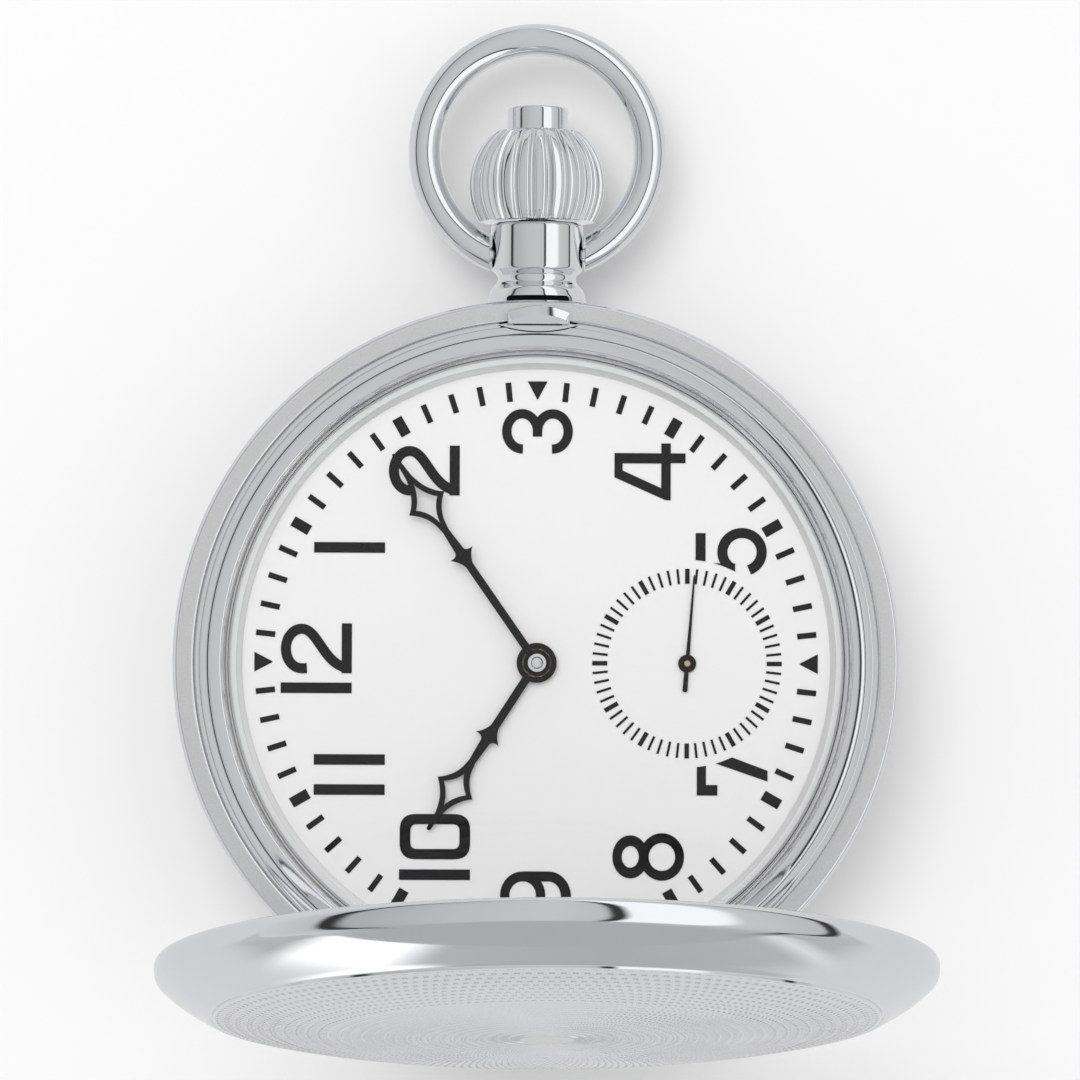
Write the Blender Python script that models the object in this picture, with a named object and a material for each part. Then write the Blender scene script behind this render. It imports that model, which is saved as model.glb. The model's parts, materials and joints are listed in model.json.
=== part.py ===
"""Hunter-case pocket watch: a hand-wound movement in a hinged-lid case.

Sizes are in millimetres and become metres when a mesh is made. The watch lies on its back with the
dial up (+Z), the crown towards +Y and the lid hinge at -Y. The origin is the centre of the flat rest
face of the back cover.
"""

import math

import bmesh
import bpy
from mathutils import Matrix, Vector

MM = 0.001
X_AXIS, Y_AXIS, Z_AXIS = (1, 0, 0), (0, 1, 0), (0, 0, 1)

# Facets round a circle, by the size of the piece.
LARGE_FACETS = 48
MEDIUM_FACETS = 20
SMALL_FACETS = 10

# Case.
CASE_RADIUS = 24.1
BACK_DEPTH = 3.0
BACK_REST_RADIUS = 14.5
BAND_BOTTOM, SEAT_Z = 3.1, 8.0
SEAT_INNER_RADIUS = 22.9
NECK_RADIUS = 21.85
CHANNEL_RADIUS = 23.2
FLANGE_BORE_RADIUS = 21.45

# Lid, in the frame of the closed watch: heights are above the plane of its rim.
LID_RADIUS = 24.45
LID_PLANE_Z = 8.1
LID_RIM_HEIGHT = 1.33
LID_STEP_RADIUS, LID_STEP_HEIGHT = 21.2, 3.59
LID_DOME_HEIGHT = 4.94
LID_WALL = 0.6
LID_OPEN_ANGLE = math.radians(78.5)
DOME_EXPONENT = 4

# Lid hinge.
HINGE_Y, HINGE_Z = -23.3, 8.0
KNUCKLE_RADIUS, KNUCKLE_BORE = 0.85, 0.5
HINGE_PIN_RADIUS = 0.45
LID_KNUCKLE_HALF = 1.8
CASE_KNUCKLE_SPAN = (1.9, 5.4)

# Stem line: the stem, crown, pendant and bow share this height.
STEM_Z = 4.3
PENDANT_TOP_Y = 29.4
PENDANT_RADIUS = 3.08
BOW_PIVOT_Y = 27.3
BOW_CENTRE_Y = 34.2
BOW_RADIUS, BOW_TUBE_RADIUS = 7.53, 1.08
CROWN_CENTRE_Y, CROWN_RADIUS = 31.93, 4.575
CROWN_BOTTOM_Y, CROWN_TOP_Y = 29.5, 35.6
BUTTON_RADIUS, BUTTON_TOP_Y = 2.03, 37.27

# Dial and hands.
DIAL_BOTTOM, DIAL_TOP = 6.6, 7.0
DIAL_RADIUS = 20.3
SECONDS_X = 10.0
MINUTE_ANGLE, HOUR_ANGLE = math.radians(124.9), math.radians(-122.9)
SECONDS_ANGLE = math.radians(85.5)

# Movement levels, from the back to the dial.
BRIDGE_BOTTOM, BRIDGE_TOP = 1.55, 2.45
WHEEL_C, WHEEL_B, WHEEL_A = 2.85, 3.45, 4.05
WHEEL_THICKNESS = 0.2
PLATE_BOTTOM, PLATE_TOP, PLATE_RIM = 4.5, 5.7, 6.5
MOVEMENT_RADIUS = 18.2

# Gear train: tooth counts, modules and the centres that follow from them.
BARREL_TEETH, CENTRE_LEAVES = 48, 8
CENTRE_TEETH, THIRD_LEAVES = 48, 6
THIRD_TEETH, FOURTH_LEAVES = 45, 6
FOURTH_TEETH, ESCAPE_LEAVES = 60, 6
CANNON_TEETH, MINUTE_TEETH = 10, 30
MINUTE_LEAVES, HOUR_TEETH = 8, 32
SETTING_TEETH = 20
RATCHET_TEETH, CROWN_WHEEL_TEETH, WINDING_TEETH = 36, 24, 18
CENTRE_MODULE, THIRD_MODULE, FOURTH_MODULE = 0.25, 0.24, 0.165
MOTION_MODULE = 0.17
RATCHET_MODULE = 0.304

STEEL = ("polished_steel", (0.72, 0.73, 0.75), 0.12, 1.0)
BRUSHED = ("brushed_steel", (0.62, 0.63, 0.64), 0.35, 1.0)
BRASS = ("gilt_brass", (0.78, 0.6, 0.3), 0.28, 1.0)
WHITE = ("white_lacquer", (0.93, 0.93, 0.91), 0.2, 0.0)
BLACK = ("black_lacquer", (0.015, 0.015, 0.016), 0.25, 0.0)
GLASS = ("mineral_glass", (0.95, 0.97, 0.98), 0.02, 0.0)
RUBBER = ("seal_rubber", (0.03, 0.03, 0.03), 0.6, 0.0)


def clear_scene():
    for obj in list(bpy.data.objects):
        bpy.data.objects.remove(obj, do_unlink=True)


def material(finish):
    name, colour, roughness, metallic = finish
    found = bpy.data.materials.get(name)
    if found:
        return found
    made = bpy.data.materials.new(name)
    made.use_nodes = True
    shader = made.node_tree.nodes["Principled BSDF"]
    shader.inputs["Base Color"].default_value = (*colour, 1.0)
    shader.inputs["Roughness"].default_value = roughness
    shader.inputs["Metallic"].default_value = metallic
    return made


def place(bm, name, finish, origin=(0, 0, 0)):
    """Makes an object of a mesh drawn in the watch's own millimetres, with its origin at the given point."""
    bmesh.ops.recalc_face_normals(bm, faces=bm.faces)
    bm.transform(Matrix.Scale(MM, 4) @ Matrix.Translation(-Vector(origin)))
    mesh = bpy.data.meshes.new(name)
    bm.to_mesh(mesh)
    bm.free()
    mesh.shade_smooth()
    mesh.set_sharp_from_angle(angle=math.radians(35))
    obj = bpy.data.objects.new(name, mesh)
    obj.location = Vector(origin) * MM
    bpy.context.scene.collection.objects.link(obj)
    if finish:
        mesh.materials.append(material(finish))
    return obj


def boolean(obj, operation, bm):
    """Adds or cuts away a shape with a Boolean modifier, whose hidden operand follows the object's name."""
    count = len(obj.modifiers)
    tool = place(bm, f"{obj.name}_tool_{count}", None)
    tool.hide_render = True
    tool.display_type = "WIRE"
    modifier = obj.modifiers.new(f"{operation.lower()}_{count}", "BOOLEAN")
    modifier.operation = operation
    modifier.solver = "EXACT"
    modifier.object = tool


def add(obj, bm):
    boolean(obj, "UNION", bm)


def cut(obj, bm):
    boolean(obj, "DIFFERENCE", bm)


def along(axis, point):
    """Turns a shape drawn round Z to lie along the axis, and moves it to the point."""
    turn = Vector(Z_AXIS).rotation_difference(Vector(axis)).to_matrix().to_4x4()
    return Matrix.Translation(Vector(point)) @ turn


def turned(profile, facets, axis=Z_AXIS, point=(0, 0, 0)):
    """A turned solid: the closed outline of (radius, height) points, spun about the axis.

    A flat end is one face, and only a pointed or domed end keeps a point on the axis.
    """
    bm = bmesh.new()
    angles = [2 * math.pi * k / facets for k in range(facets)]
    rings = []
    for radius, height in profile:
        if radius == 0:
            rings.append([(0, 0, height)])
        else:
            points = [(radius * math.cos(a), radius * math.sin(a), height) for a in angles]
            rings.append([bm.verts.new(p) for p in points])
    for row, other in zip(rings, rings[1:] + rings[:1]):
        poles = [r for r in (row, other) if len(r) == 1]
        rims = [r for r in (row, other) if len(r) > 1]
        if not rims:
            continue
        if not poles:
            for k in range(facets):
                bm.faces.new((row[k], row[k - 1], other[k - 1], other[k]))
        elif math.isclose(poles[0][0][2], rims[0][0].co.z):
            bm.faces.new(rims[0])
        else:
            tip = bm.verts.new(poles[0][0])
            for k in range(facets):
                bm.faces.new((rims[0][k], rims[0][k - 1], tip))
    bm.transform(along(axis, point))
    return bm


def rod(radius, start, end, axis=Z_AXIS, point=(0, 0, 0), facets=SMALL_FACETS):
    """A plain cylinder between two heights along an axis through the point."""
    return turned([(0, start), (radius, start), (radius, end), (0, end)], facets, axis, point)


def ring(inner, outer, bottom, top, facets=LARGE_FACETS):
    return turned([(inner, bottom), (outer, bottom), (outer, top), (inner, top)], facets)


def block(low, high):
    bm = bmesh.new()
    size = Vector(high) - Vector(low)
    middle = (Vector(high) + Vector(low)) / 2
    bmesh.ops.create_cube(bm, size=1, matrix=Matrix.Translation(middle) @ Matrix.Diagonal((*size, 1)))
    return bm


def slab(outline, bottom, top):
    """A flat plate with the outline's (x, y) points."""
    bm = bmesh.new()
    face = bm.faces.new([bm.verts.new((x, y, bottom)) for x, y in outline])
    made = bmesh.ops.extrude_face_region(bm, geom=[face])
    lifted = [v for v in made["geom"] if isinstance(v, bmesh.types.BMVert)]
    bmesh.ops.translate(bm, verts=lifted, vec=(0, 0, top - bottom))
    return bm


def merged(*shapes):
    """Several separate shapes in one mesh, as the operand of a single cut."""
    whole = bmesh.new()
    for bm in shapes:
        bmesh.ops.recalc_face_normals(bm, faces=bm.faces)
        mesh = bpy.data.meshes.new("part_of_tool")
        bm.to_mesh(mesh)
        bm.free()
        whole.from_mesh(mesh)
        bpy.data.meshes.remove(mesh)
    return whole


def arc(radius, start, end, count, centre=(0, 0)):
    """Points along an arc, from one angle to another in degrees."""
    angles = [math.radians(start + (end - start) * k / count) for k in range(count + 1)]
    return [(centre[0] + radius * math.cos(a), centre[1] + radius * math.sin(a)) for a in angles]


def capsule(start, end, start_radius, end_radius):
    """The outline of a bar with a round end at each of two points."""
    way = math.degrees(math.atan2(end[1] - start[1], end[0] - start[0]))
    return arc(start_radius, way + 90, way + 270, 6, start) + arc(end_radius, way - 90, way + 90, 6, end)


def gear(teeth, module, bottom, top, phase=0.0, centre=(0, 0)):
    """A spur gear with pointed teeth, one of them centred on the phase angle."""
    pitch_radius = teeth * module / 2
    tip, root = pitch_radius + 0.6 * module, pitch_radius - module
    half_step = math.pi / teeth
    outline = []
    for tooth in range(teeth):
        outline.append(offset(centre, tip, phase + 2 * tooth * half_step))
        outline.append(offset(centre, root, phase + (2 * tooth + 1) * half_step))
    return slab(outline, bottom, top)


def arbor(pivot, shaft, levels, centre):
    """A shaft with a thin pivot at each end: levels are the four heights where its radius changes."""
    low, shoulder, upper_shoulder, high = levels
    profile = [
        (0, low), (pivot, low), (pivot, shoulder), (shaft, shoulder),
        (shaft, upper_shoulder), (pivot, upper_shoulder), (pivot, high), (0, high),
    ]
    return turned(profile, SMALL_FACETS, point=(*centre, 0))


def strip_spiral(inner, outer, turns, steps, thickness, bottom, top, centre):
    """A flat spring: a strip wound in an even spiral."""
    inside, outside = [], []
    for k in range(steps + 1):
        share = k / steps
        angle = 2 * math.pi * turns * share
        radius = inner + (outer - inner) * share
        for side, shift in ((inside, -thickness / 2), (outside, thickness / 2)):
            reach = radius + shift
            side.append((centre[0] + reach * math.cos(angle), centre[1] + reach * math.sin(angle)))
    bm = bmesh.new()
    rows = []
    for (xi, yi), (xo, yo) in zip(inside, outside):
        corners = ((xi, yi, bottom), (xo, yo, bottom), (xo, yo, top), (xi, yi, top))
        rows.append([bm.verts.new(c) for c in corners])
    for row, after in zip(rows, rows[1:]):
        for k in range(4):
            bm.faces.new((row[k - 1], row[k], after[k], after[k - 1]))
    bm.faces.new(rows[0])
    bm.faces.new(rows[-1])
    return bm


def direction(start, end):
    return math.atan2(end[1] - start[1], end[0] - start[0])


def offset(point, distance, angle):
    return (point[0] + distance * math.cos(angle), point[1] + distance * math.sin(angle))


def train_centres():
    """Where each arbor stands, from the sums of the pitch radii of the wheels that mesh."""
    centre, fourth = (0.0, 0.0), (SECONDS_X, 0.0)
    to_third = CENTRE_MODULE * (CENTRE_TEETH + THIRD_LEAVES) / 2
    from_third = THIRD_MODULE * (THIRD_TEETH + FOURTH_LEAVES) / 2
    third_x = (to_third**2 - from_third**2 + SECONDS_X**2) / (2 * SECONDS_X)
    third = (third_x, math.sqrt(to_third**2 - third_x**2))
    escape = offset(fourth, FOURTH_MODULE * (FOURTH_TEETH + ESCAPE_LEAVES) / 2, math.radians(-80))
    balance = (4.5, -11.0)
    pallet = offset(escape, 3.0, direction(escape, balance))
    barrel = (-7.2, 5.0)
    winding = RATCHET_MODULE * (RATCHET_TEETH + CROWN_WHEEL_TEETH) / 2
    crown_wheel = (0.0, barrel[1] + math.sqrt(winding**2 - barrel[0] ** 2))
    minute = offset(centre, MOTION_MODULE * (CANNON_TEETH + MINUTE_TEETH) / 2, math.radians(75))
    setting = offset(minute, MOTION_MODULE * (MINUTE_TEETH + SETTING_TEETH) / 2, math.radians(95))
    return {
        "centre": centre, "third": third, "fourth": fourth, "escape": escape, "balance": balance,
        "pallet": pallet, "barrel": barrel, "crown_wheel": crown_wheel, "minute": minute, "setting": setting,
    }


def tooth_towards(own, other):
    """The phase that puts a tooth on the line to the other gear."""
    return direction(own, other)


def gap_towards(own, other, teeth):
    """The phase that puts a gap between teeth on the line to the other gear."""
    return direction(own, other) + math.pi / teeth


# Case.


def lid_outline():
    """The lid's cross-section as (radius, height above the rim plane), outer side first."""
    radii = [LID_STEP_RADIUS * share for share in (0.8, 0.5)]

    def dome(radius, drop):
        rise = LID_DOME_HEIGHT - LID_STEP_HEIGHT
        return LID_STEP_HEIGHT + rise * (1 - (radius / LID_STEP_RADIUS) ** DOME_EXPONENT) - drop

    outer = [(LID_RADIUS, 0), (LID_RADIUS, LID_RIM_HEIGHT), (LID_STEP_RADIUS, LID_STEP_HEIGHT)]
    outer += [(r, dome(r, 0)) for r in radii] + [(0, LID_DOME_HEIGHT)]
    inner = [(0, LID_DOME_HEIGHT - LID_WALL)] + [(r, dome(r, LID_WALL)) for r in reversed(radii)]
    inner += [(20.9, 3.0), (23.8, 0.98), (23.8, 0.35), (23.2, 0.35), (23.2, 0)]
    return outer + inner


def make_lid():
    """The lid is drawn closed and turned open about the hinge pin."""
    pin = (0, HINGE_Y, HINGE_Z)
    shell = place(turned(lid_outline(), LARGE_FACETS, point=(0, 0, LID_PLANE_Z)), "lid_shell", STEEL, pin)
    knuckle = rod(KNUCKLE_RADIUS, -LID_KNUCKLE_HALF, LID_KNUCKLE_HALF, X_AXIS, pin, MEDIUM_FACETS)
    knuckle = place(knuckle, "lid_knuckle", STEEL, pin)
    notch = block((-5.8, -26, LID_PLANE_Z - 1), (5.8, -20, LID_PLANE_Z + 0.95))
    leaf = block((-1.6, -23.65, 8.4), (1.6, -22.9, 9.1))
    bore = rod(KNUCKLE_BORE, -3, 3, X_AXIS, pin, MEDIUM_FACETS)
    cut(shell, notch)
    add(knuckle, leaf)
    cut(knuckle, bore)
    hinge = bpy.data.objects.new("lid_axis", None)
    hinge.location = Vector(pin) * MM
    bpy.context.scene.collection.objects.link(hinge)
    for obj in [o for o in bpy.data.objects if o.name.startswith("lid_") and o.type == "MESH"]:
        obj.location = obj.location - hinge.location
        obj.parent = hinge
    hinge.rotation_euler.x = LID_OPEN_ANGLE


def make_case_middle():
    profile = [
        (FLANGE_BORE_RADIUS, BAND_BOTTOM), (CASE_RADIUS, BAND_BOTTOM), (CASE_RADIUS, 7.75),
        (23.9, SEAT_Z), (SEAT_INNER_RADIUS, SEAT_Z), (SEAT_INNER_RADIUS, 7.6), (22.35, 7.6), (22.3, 8.15),
        (NECK_RADIUS, 8.15), (NECK_RADIUS, 6.9), (CHANNEL_RADIUS, 6.9), (CHANNEL_RADIUS, 3.9),
        (FLANGE_BORE_RADIUS, 3.9),
    ]
    middle = place(turned(profile, LARGE_FACETS), "case_middle", STEEL)
    hinge_recess = block((-5.6, -26, 6.7), (5.6, -22.35, 10))
    catch_slot = block((-2.6, 21.0, 6.0), (2.6, 23.15, 10))
    stem_hole = rod(1.25, 20, 26, Y_AXIS, (0, 0, STEM_Z), MEDIUM_FACETS)
    cut(middle, merged(hinge_recess, catch_slot))
    cut(middle, stem_hole)


def make_back_cover():
    profile = [
        (0, 0), (BACK_REST_RADIUS, 0), (18.2, 0.25), (21.2, 0.8),
        (CASE_RADIUS, 2.45), (CASE_RADIUS, BACK_DEPTH),
        (21.35, BACK_DEPTH), (21.35, 3.6), (20.75, 3.6), (20.75, 1.5), (14.0, 0.6), (0, 0.6),
    ]
    place(turned(profile, LARGE_FACETS), "back_cover", STEEL)


def make_bezel_and_glass():
    bezel = [(20.45, 7.1), (21.75, 7.1), (21.75, 8.4), (21.5, 8.6), (20.75, 8.25), (20.45, 7.95)]
    place(turned(bezel, LARGE_FACETS), "bezel", STEEL)
    upper = [(20.35, 7.78), (20.35, 8.25), (16.0, 8.6), (9.0, 8.93), (0, 9.1)]
    lower = [(0, 8.35), (9.0, 8.22), (16.0, 7.98), (19.6, 7.78)]
    place(turned(upper + lower, LARGE_FACETS // 2), "crystal", GLASS)
    place(ring(19.85, 20.3, 7.5, 7.74, MEDIUM_FACETS), "crystal_gasket", RUBBER)
    place(ring(19.45, 20.35, 7.05, 7.45, 32), "dial_flange", STEEL)


def make_dial():
    dial = place(rod(DIAL_RADIUS, DIAL_BOTTOM, DIAL_TOP, facets=LARGE_FACETS), "dial", WHITE)
    centre_hole = rod(1.05, 6, 8, facets=MEDIUM_FACETS)
    seconds_hole = rod(0.35, 6, 8, point=(SECONDS_X, 0, 0))
    cut(dial, merged(centre_hole, seconds_hole))


def make_hinge_and_springs():
    pin = (0, HINGE_Y, HINGE_Z)
    place(rod(HINGE_PIN_RADIUS, -5.3, 5.3, X_AXIS, pin, MEDIUM_FACETS), "hinge_pin", STEEL, pin)
    near, far = CASE_KNUCKLE_SPAN
    for side, name in ((-1, "hinge_knuckle_left"), (1, "hinge_knuckle_right")):
        low, high = sorted((side * near, side * far))
        knuckle = place(rod(KNUCKLE_RADIUS, low, high, X_AXIS, pin, MEDIUM_FACETS), name, STEEL)
        add(knuckle, block((low + 0.05, -23.45, 6.73), (high - 0.05, -22.6, HINGE_Z)))
        cut(knuckle, rod(KNUCKLE_BORE, -7, 7, X_AXIS, pin, MEDIUM_FACETS))
    for name, start, end in (("lock_spring", 97.5, 165), ("lid_lift_spring", 196, 255)):
        outline = arc(22.8, start, end, 16) + arc(22.2, end, start, 16)
        place(slab(outline, 5.7, 6.6), name, BRUSHED)


def make_catch():
    catch = place(block((-2.1, 22.4, 8.5), (2.1, 23.65, 9.0)), "lid_catch", STEEL, (0, 22.4, 8.0))
    add(catch, block((-2.05, 22.45, 5.7), (2.05, 22.95, 8.7)))


# Pendant, bow and winding line.


def make_pendant():
    point = (0, 0, STEM_Z)
    profile = [
        (1.2, 23.4), (3.3, 23.4), (3.25, 24.5), (3.05, 25.0), (2.6, 25.5), (2.6, 25.85),
        (PENDANT_RADIUS, 26.35),
        (PENDANT_RADIUS, 29.2), (2.95, PENDANT_TOP_Y), (1.2, PENDANT_TOP_Y),
    ]
    pendant = place(turned(profile, MEDIUM_FACETS, Y_AXIS, point), "pendant", STEEL)
    cut(pendant, rod(CASE_RADIUS + 0.05, -1, 10, facets=LARGE_FACETS * 2))
    cut(pendant, rod(0.6, -5, 5, X_AXIS, (0, BOW_PIVOT_Y, STEM_Z)))
    tube = [(0.85, 21.6), (1.12, 21.6), (1.12, 28.9), (0.85, 28.9)]
    place(turned(tube, SMALL_FACETS, Y_AXIS, point), "stem_tube", BRASS)
    seal = [(0.82, 28.95), (1.12, 28.95), (1.12, 29.3), (0.82, 29.3)]
    place(turned(seal, SMALL_FACETS, Y_AXIS, point), "stem_gasket", RUBBER)


def make_bow():
    """A round-wire ring with its two ends cut square at the pendant and a pin on each."""
    pivot = (0, BOW_PIVOT_Y, STEM_Z)
    half_gap = math.asin(2.6 / BOW_RADIUS)
    steps, sides = 28, 10
    bm = bmesh.new()
    rows = []
    for k in range(steps + 1):
        angle = -math.pi / 2 + half_gap + (2 * math.pi - 2 * half_gap) * k / steps
        row = []
        for j in range(sides):
            around = 2 * math.pi * j / sides
            reach = BOW_RADIUS + BOW_TUBE_RADIUS * math.cos(around)
            height = STEM_Z + BOW_TUBE_RADIUS * math.sin(around)
            x, y = reach * math.cos(angle), BOW_CENTRE_Y + reach * math.sin(angle)
            row.append(bm.verts.new((x, y, height)))
        rows.append(row)
    for row, after in zip(rows, rows[1:]):
        for j in range(sides):
            bm.faces.new((row[j - 1], row[j], after[j], after[j - 1]))
    bm.faces.new(rows[0])
    bm.faces.new(rows[-1])
    bow = place(bm, "bow", STEEL, pivot)
    cut(bow, block((-3.2, 22, 0), (3.2, 31, 9)))
    add(bow, merged(rod(0.55, -4.1, -2.0, X_AXIS, pivot), rod(0.55, 2.0, 4.1, X_AXIS, pivot)))


def make_winding_line():
    point = (0, 0, STEM_Z)
    stem = [
        (0, 9.5), (0.35, 9.5), (0.35, 10.2), (0.45, 10.2), (0.45, 13.25), (0.55, 13.25), (0.55, 15.5),
        (0.35, 15.5), (0.35, 16.3), (0.6, 16.3), (0.6, 24.4), (0.75, 24.4), (0.75, 33.0), (0.4, 33.0),
        (0.4, 24.6), (0, 24.6),
    ]
    place(turned(stem, SMALL_FACETS, Y_AXIS, point), "stem", STEEL, point)
    pinion = gear(WINDING_TEETH, 0.234, 13.3, 14.7)
    pinion.transform(along(Y_AXIS, point))
    pinion = place(pinion, "winding_pinion", BRUSHED, point)
    cut(pinion, rod(0.62, 13, 15, Y_AXIS, point))
    clutch = [
        (0.5, 11.1), (1.2, 11.1), (1.2, 11.8), (0.85, 11.8),
        (0.85, 12.4), (1.2, 12.4), (1.2, 13.2), (0.5, 13.2),
    ]
    place(turned(clutch, SMALL_FACETS, Y_AXIS, point), "sliding_clutch", BRUSHED, point)
    ball = []
    for k in range(7):
        y = CROWN_BOTTOM_Y + (CROWN_TOP_Y - CROWN_BOTTOM_Y) * k / 6
        ball.append((math.sqrt(CROWN_RADIUS**2 - (y - CROWN_CENTRE_Y) ** 2), y))
    inside = [
        (2.1, CROWN_TOP_Y), (2.1, 33.4), (0.45, 33.4), (0.45, 33.05), (0.8, 33.05), (0.8, CROWN_BOTTOM_Y),
    ]
    place(turned(ball + inside, MEDIUM_FACETS, Y_AXIS, point), "crown", STEEL, point)
    button = [
        (0, 25.5), (0.33, 25.5), (0.33, 34.3), (BUTTON_RADIUS, 34.3), (BUTTON_RADIUS, BUTTON_TOP_Y - 0.15),
        (BUTTON_RADIUS - 0.15, BUTTON_TOP_Y), (0, BUTTON_TOP_Y),
    ]
    place(turned(button, MEDIUM_FACETS, Y_AXIS, point), "release_button", STEEL, point)


# Movement: fixed pieces.


def holes(spots, radius, bottom, top):
    return [rod(radius, bottom, top, point=(x, y, 0)) for x, y in spots]


def make_mainplate(at):
    profile = [
        (0, PLATE_BOTTOM), (MOVEMENT_RADIUS, PLATE_BOTTOM), (MOVEMENT_RADIUS, PLATE_RIM), (16.9, PLATE_RIM),
        (16.9, PLATE_TOP), (0, PLATE_TOP),
    ]
    plate = place(turned(profile, 32), "mainplate", BRASS)
    pivots = holes([at[k] for k in ("third", "escape", "pallet", "balance")], 0.2, 4, 5.3)
    posts = holes([at[k] for k in ("minute", "setting")], 0.3, 5, 6)
    through = holes([at["fourth"]], 0.3, 4, 6) + holes([at["centre"]], 0.6, 4, 6)
    barrel = [rod(0.7, 4, 5.2, point=(*at["barrel"], 0))]
    slot = [block((-2.5, 9.3, 4), (2.5, 16.5, 7))]
    cut(plate, merged(*pivots, *posts, *through, *barrel, *slot))
    cut(plate, block((-0.9, 16.2, 4), (0.9, 19, 5.25)))
    holder = place(ring(18.4, 21.3, 3.95, 6.5, 32), "movement_ring", BRASS)
    cut(holder, rod(1.0, 17, 23, Y_AXIS, (0, 0, STEM_Z)))
    screw_spots = [offset((0, 0), 19.7, math.radians(a)) for a in (20, 200)]
    cut(holder, merged(*holes(screw_spots, 0.5, 3, 6)))
    for name, spot in zip(("case_screw_right", "case_screw_left"), screw_spots):
        make_screw(name, spot, 3.35, 3.9, 0.9, 0.4, 5.6)


def make_screw(name, spot, head_bottom, head_top, head_radius, shank_radius, end):
    """A screw put in from the back of the watch, with a slot across its head."""
    profile = [
        (0, head_bottom), (head_radius, head_bottom), (head_radius, head_top), (shank_radius, head_top),
        (shank_radius, end), (0, end),
    ]
    screw = place(turned(profile, SMALL_FACETS, point=(*spot, 0)), name, STEEL, (*spot, 0))
    x, y = spot
    cut(screw, block((x - 2, y - 0.12, head_bottom - 0.1), (x + 2, y + 0.12, head_bottom + 0.2)))


def make_bridges(at):
    rim = MOVEMENT_RADIUS - 0.3
    outline = arc(rim, 55, 220, 24) + [(-9.5, -4.5), (-3.6, -1.6), (-2.2, 2.2), (3.0, 5.2), (6.5, 8.8)]
    barrel_bridge = place(slab(outline, BRIDGE_BOTTOM, BRIDGE_TOP), "barrel_bridge", BRASS)
    for spot, radius in (((-4.4, 15.9), 1.2), ((-14.5, -7.5), 1.5), ((8.0, 13.9), 1.2)):
        add(barrel_bridge, rod(radius, BRIDGE_TOP - 0.3, PLATE_BOTTOM - 0.04, point=(*spot, 0)))
    pocket = rod(4.05, BRIDGE_BOTTOM - 1, 2.03, point=(*at["crown_wheel"], 0), facets=MEDIUM_FACETS)
    arbor_hole = rod(0.9, 1, 3, point=(*at["barrel"], 0))
    stud_hole = rod(0.35, 1, 2.2, point=(-4.3, 12.4, 0))
    screw_hole = rod(0.45, 1, 4.2, point=(-14.5, -7.5, 0))
    cut(barrel_bridge, merged(pocket, arbor_hole, stud_hole, screw_hole))
    cut(barrel_bridge, block((-2.4, 12.9, 1.8), (2.4, 15.1, 3)))
    make_screw("barrel_bridge_screw", (-14.5, -7.5), 1.15, 1.52, 0.95, 0.4, 4.0)

    outline = arc(rim, -33, 51, 14) + [(7.2, 8.2), (3.5, 4.4), (-1.5, 1.4), (-2.0, -1.4), (3.0, -3.4)]
    outline += [(8.2, -5.4), (10.0, -7.4)]
    train_bridge = place(slab(outline, BRIDGE_BOTTOM, BRIDGE_TOP), "train_bridge", BRASS)
    for spot in ((16.0, 5.0), (13.9, -8.5), (11.2, 11.4)):
        add(train_bridge, rod(1.1, BRIDGE_TOP - 0.3, PLATE_BOTTOM - 0.04, point=(*spot, 0)))
    pivots = holes([at[k] for k in ("third", "fourth", "escape")], 0.2, 1, 3)
    centre_hole = holes([at["centre"]], 0.35, 1, 3)
    screw_hole = holes([(16.0, 5.0)], 0.45, 1, 4.2)
    cut(train_bridge, merged(*pivots, *centre_hole, *screw_hole))
    make_screw("train_bridge_screw", (16.0, 5.0), 1.15, 1.52, 0.9, 0.4, 4.0)

    foot = (-2.4, -14.4)
    cock = place(slab(capsule(foot, at["balance"], 1.7, 1.8), 0.95, 1.6), "balance_cock", BRASS)
    add(cock, rod(1.5, 1.3, PLATE_BOTTOM - 0.04, point=(*foot, 0)))
    cut(cock, merged(*holes([at["balance"]], 0.2, 0.5, 2), *holes([foot], 0.45, 0.5, 4.2)))
    cut(cock, rod(0.9, 0.5, 1.15, point=(*foot, 0)))
    make_screw("balance_cock_screw", foot, 0.85, 1.1, 0.8, 0.4, 4.0)

    across = direction(at["escape"], at["balance"]) - math.pi / 2
    near, far = offset(at["pallet"], -2.6, across), offset(at["pallet"], 2.6, across)
    pallet_bridge = place(slab(capsule(near, far, 0.6, 0.6), 2.85, 3.25), "pallet_bridge", BRASS)
    for spot in (near, far):
        add(pallet_bridge, rod(0.5, 3.1, PLATE_BOTTOM - 0.04, point=(*spot, 0), facets=8))
    cut(pallet_bridge, rod(0.2, 2, 4, point=(*at["pallet"], 0)))


# Movement: moving pieces.


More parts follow.
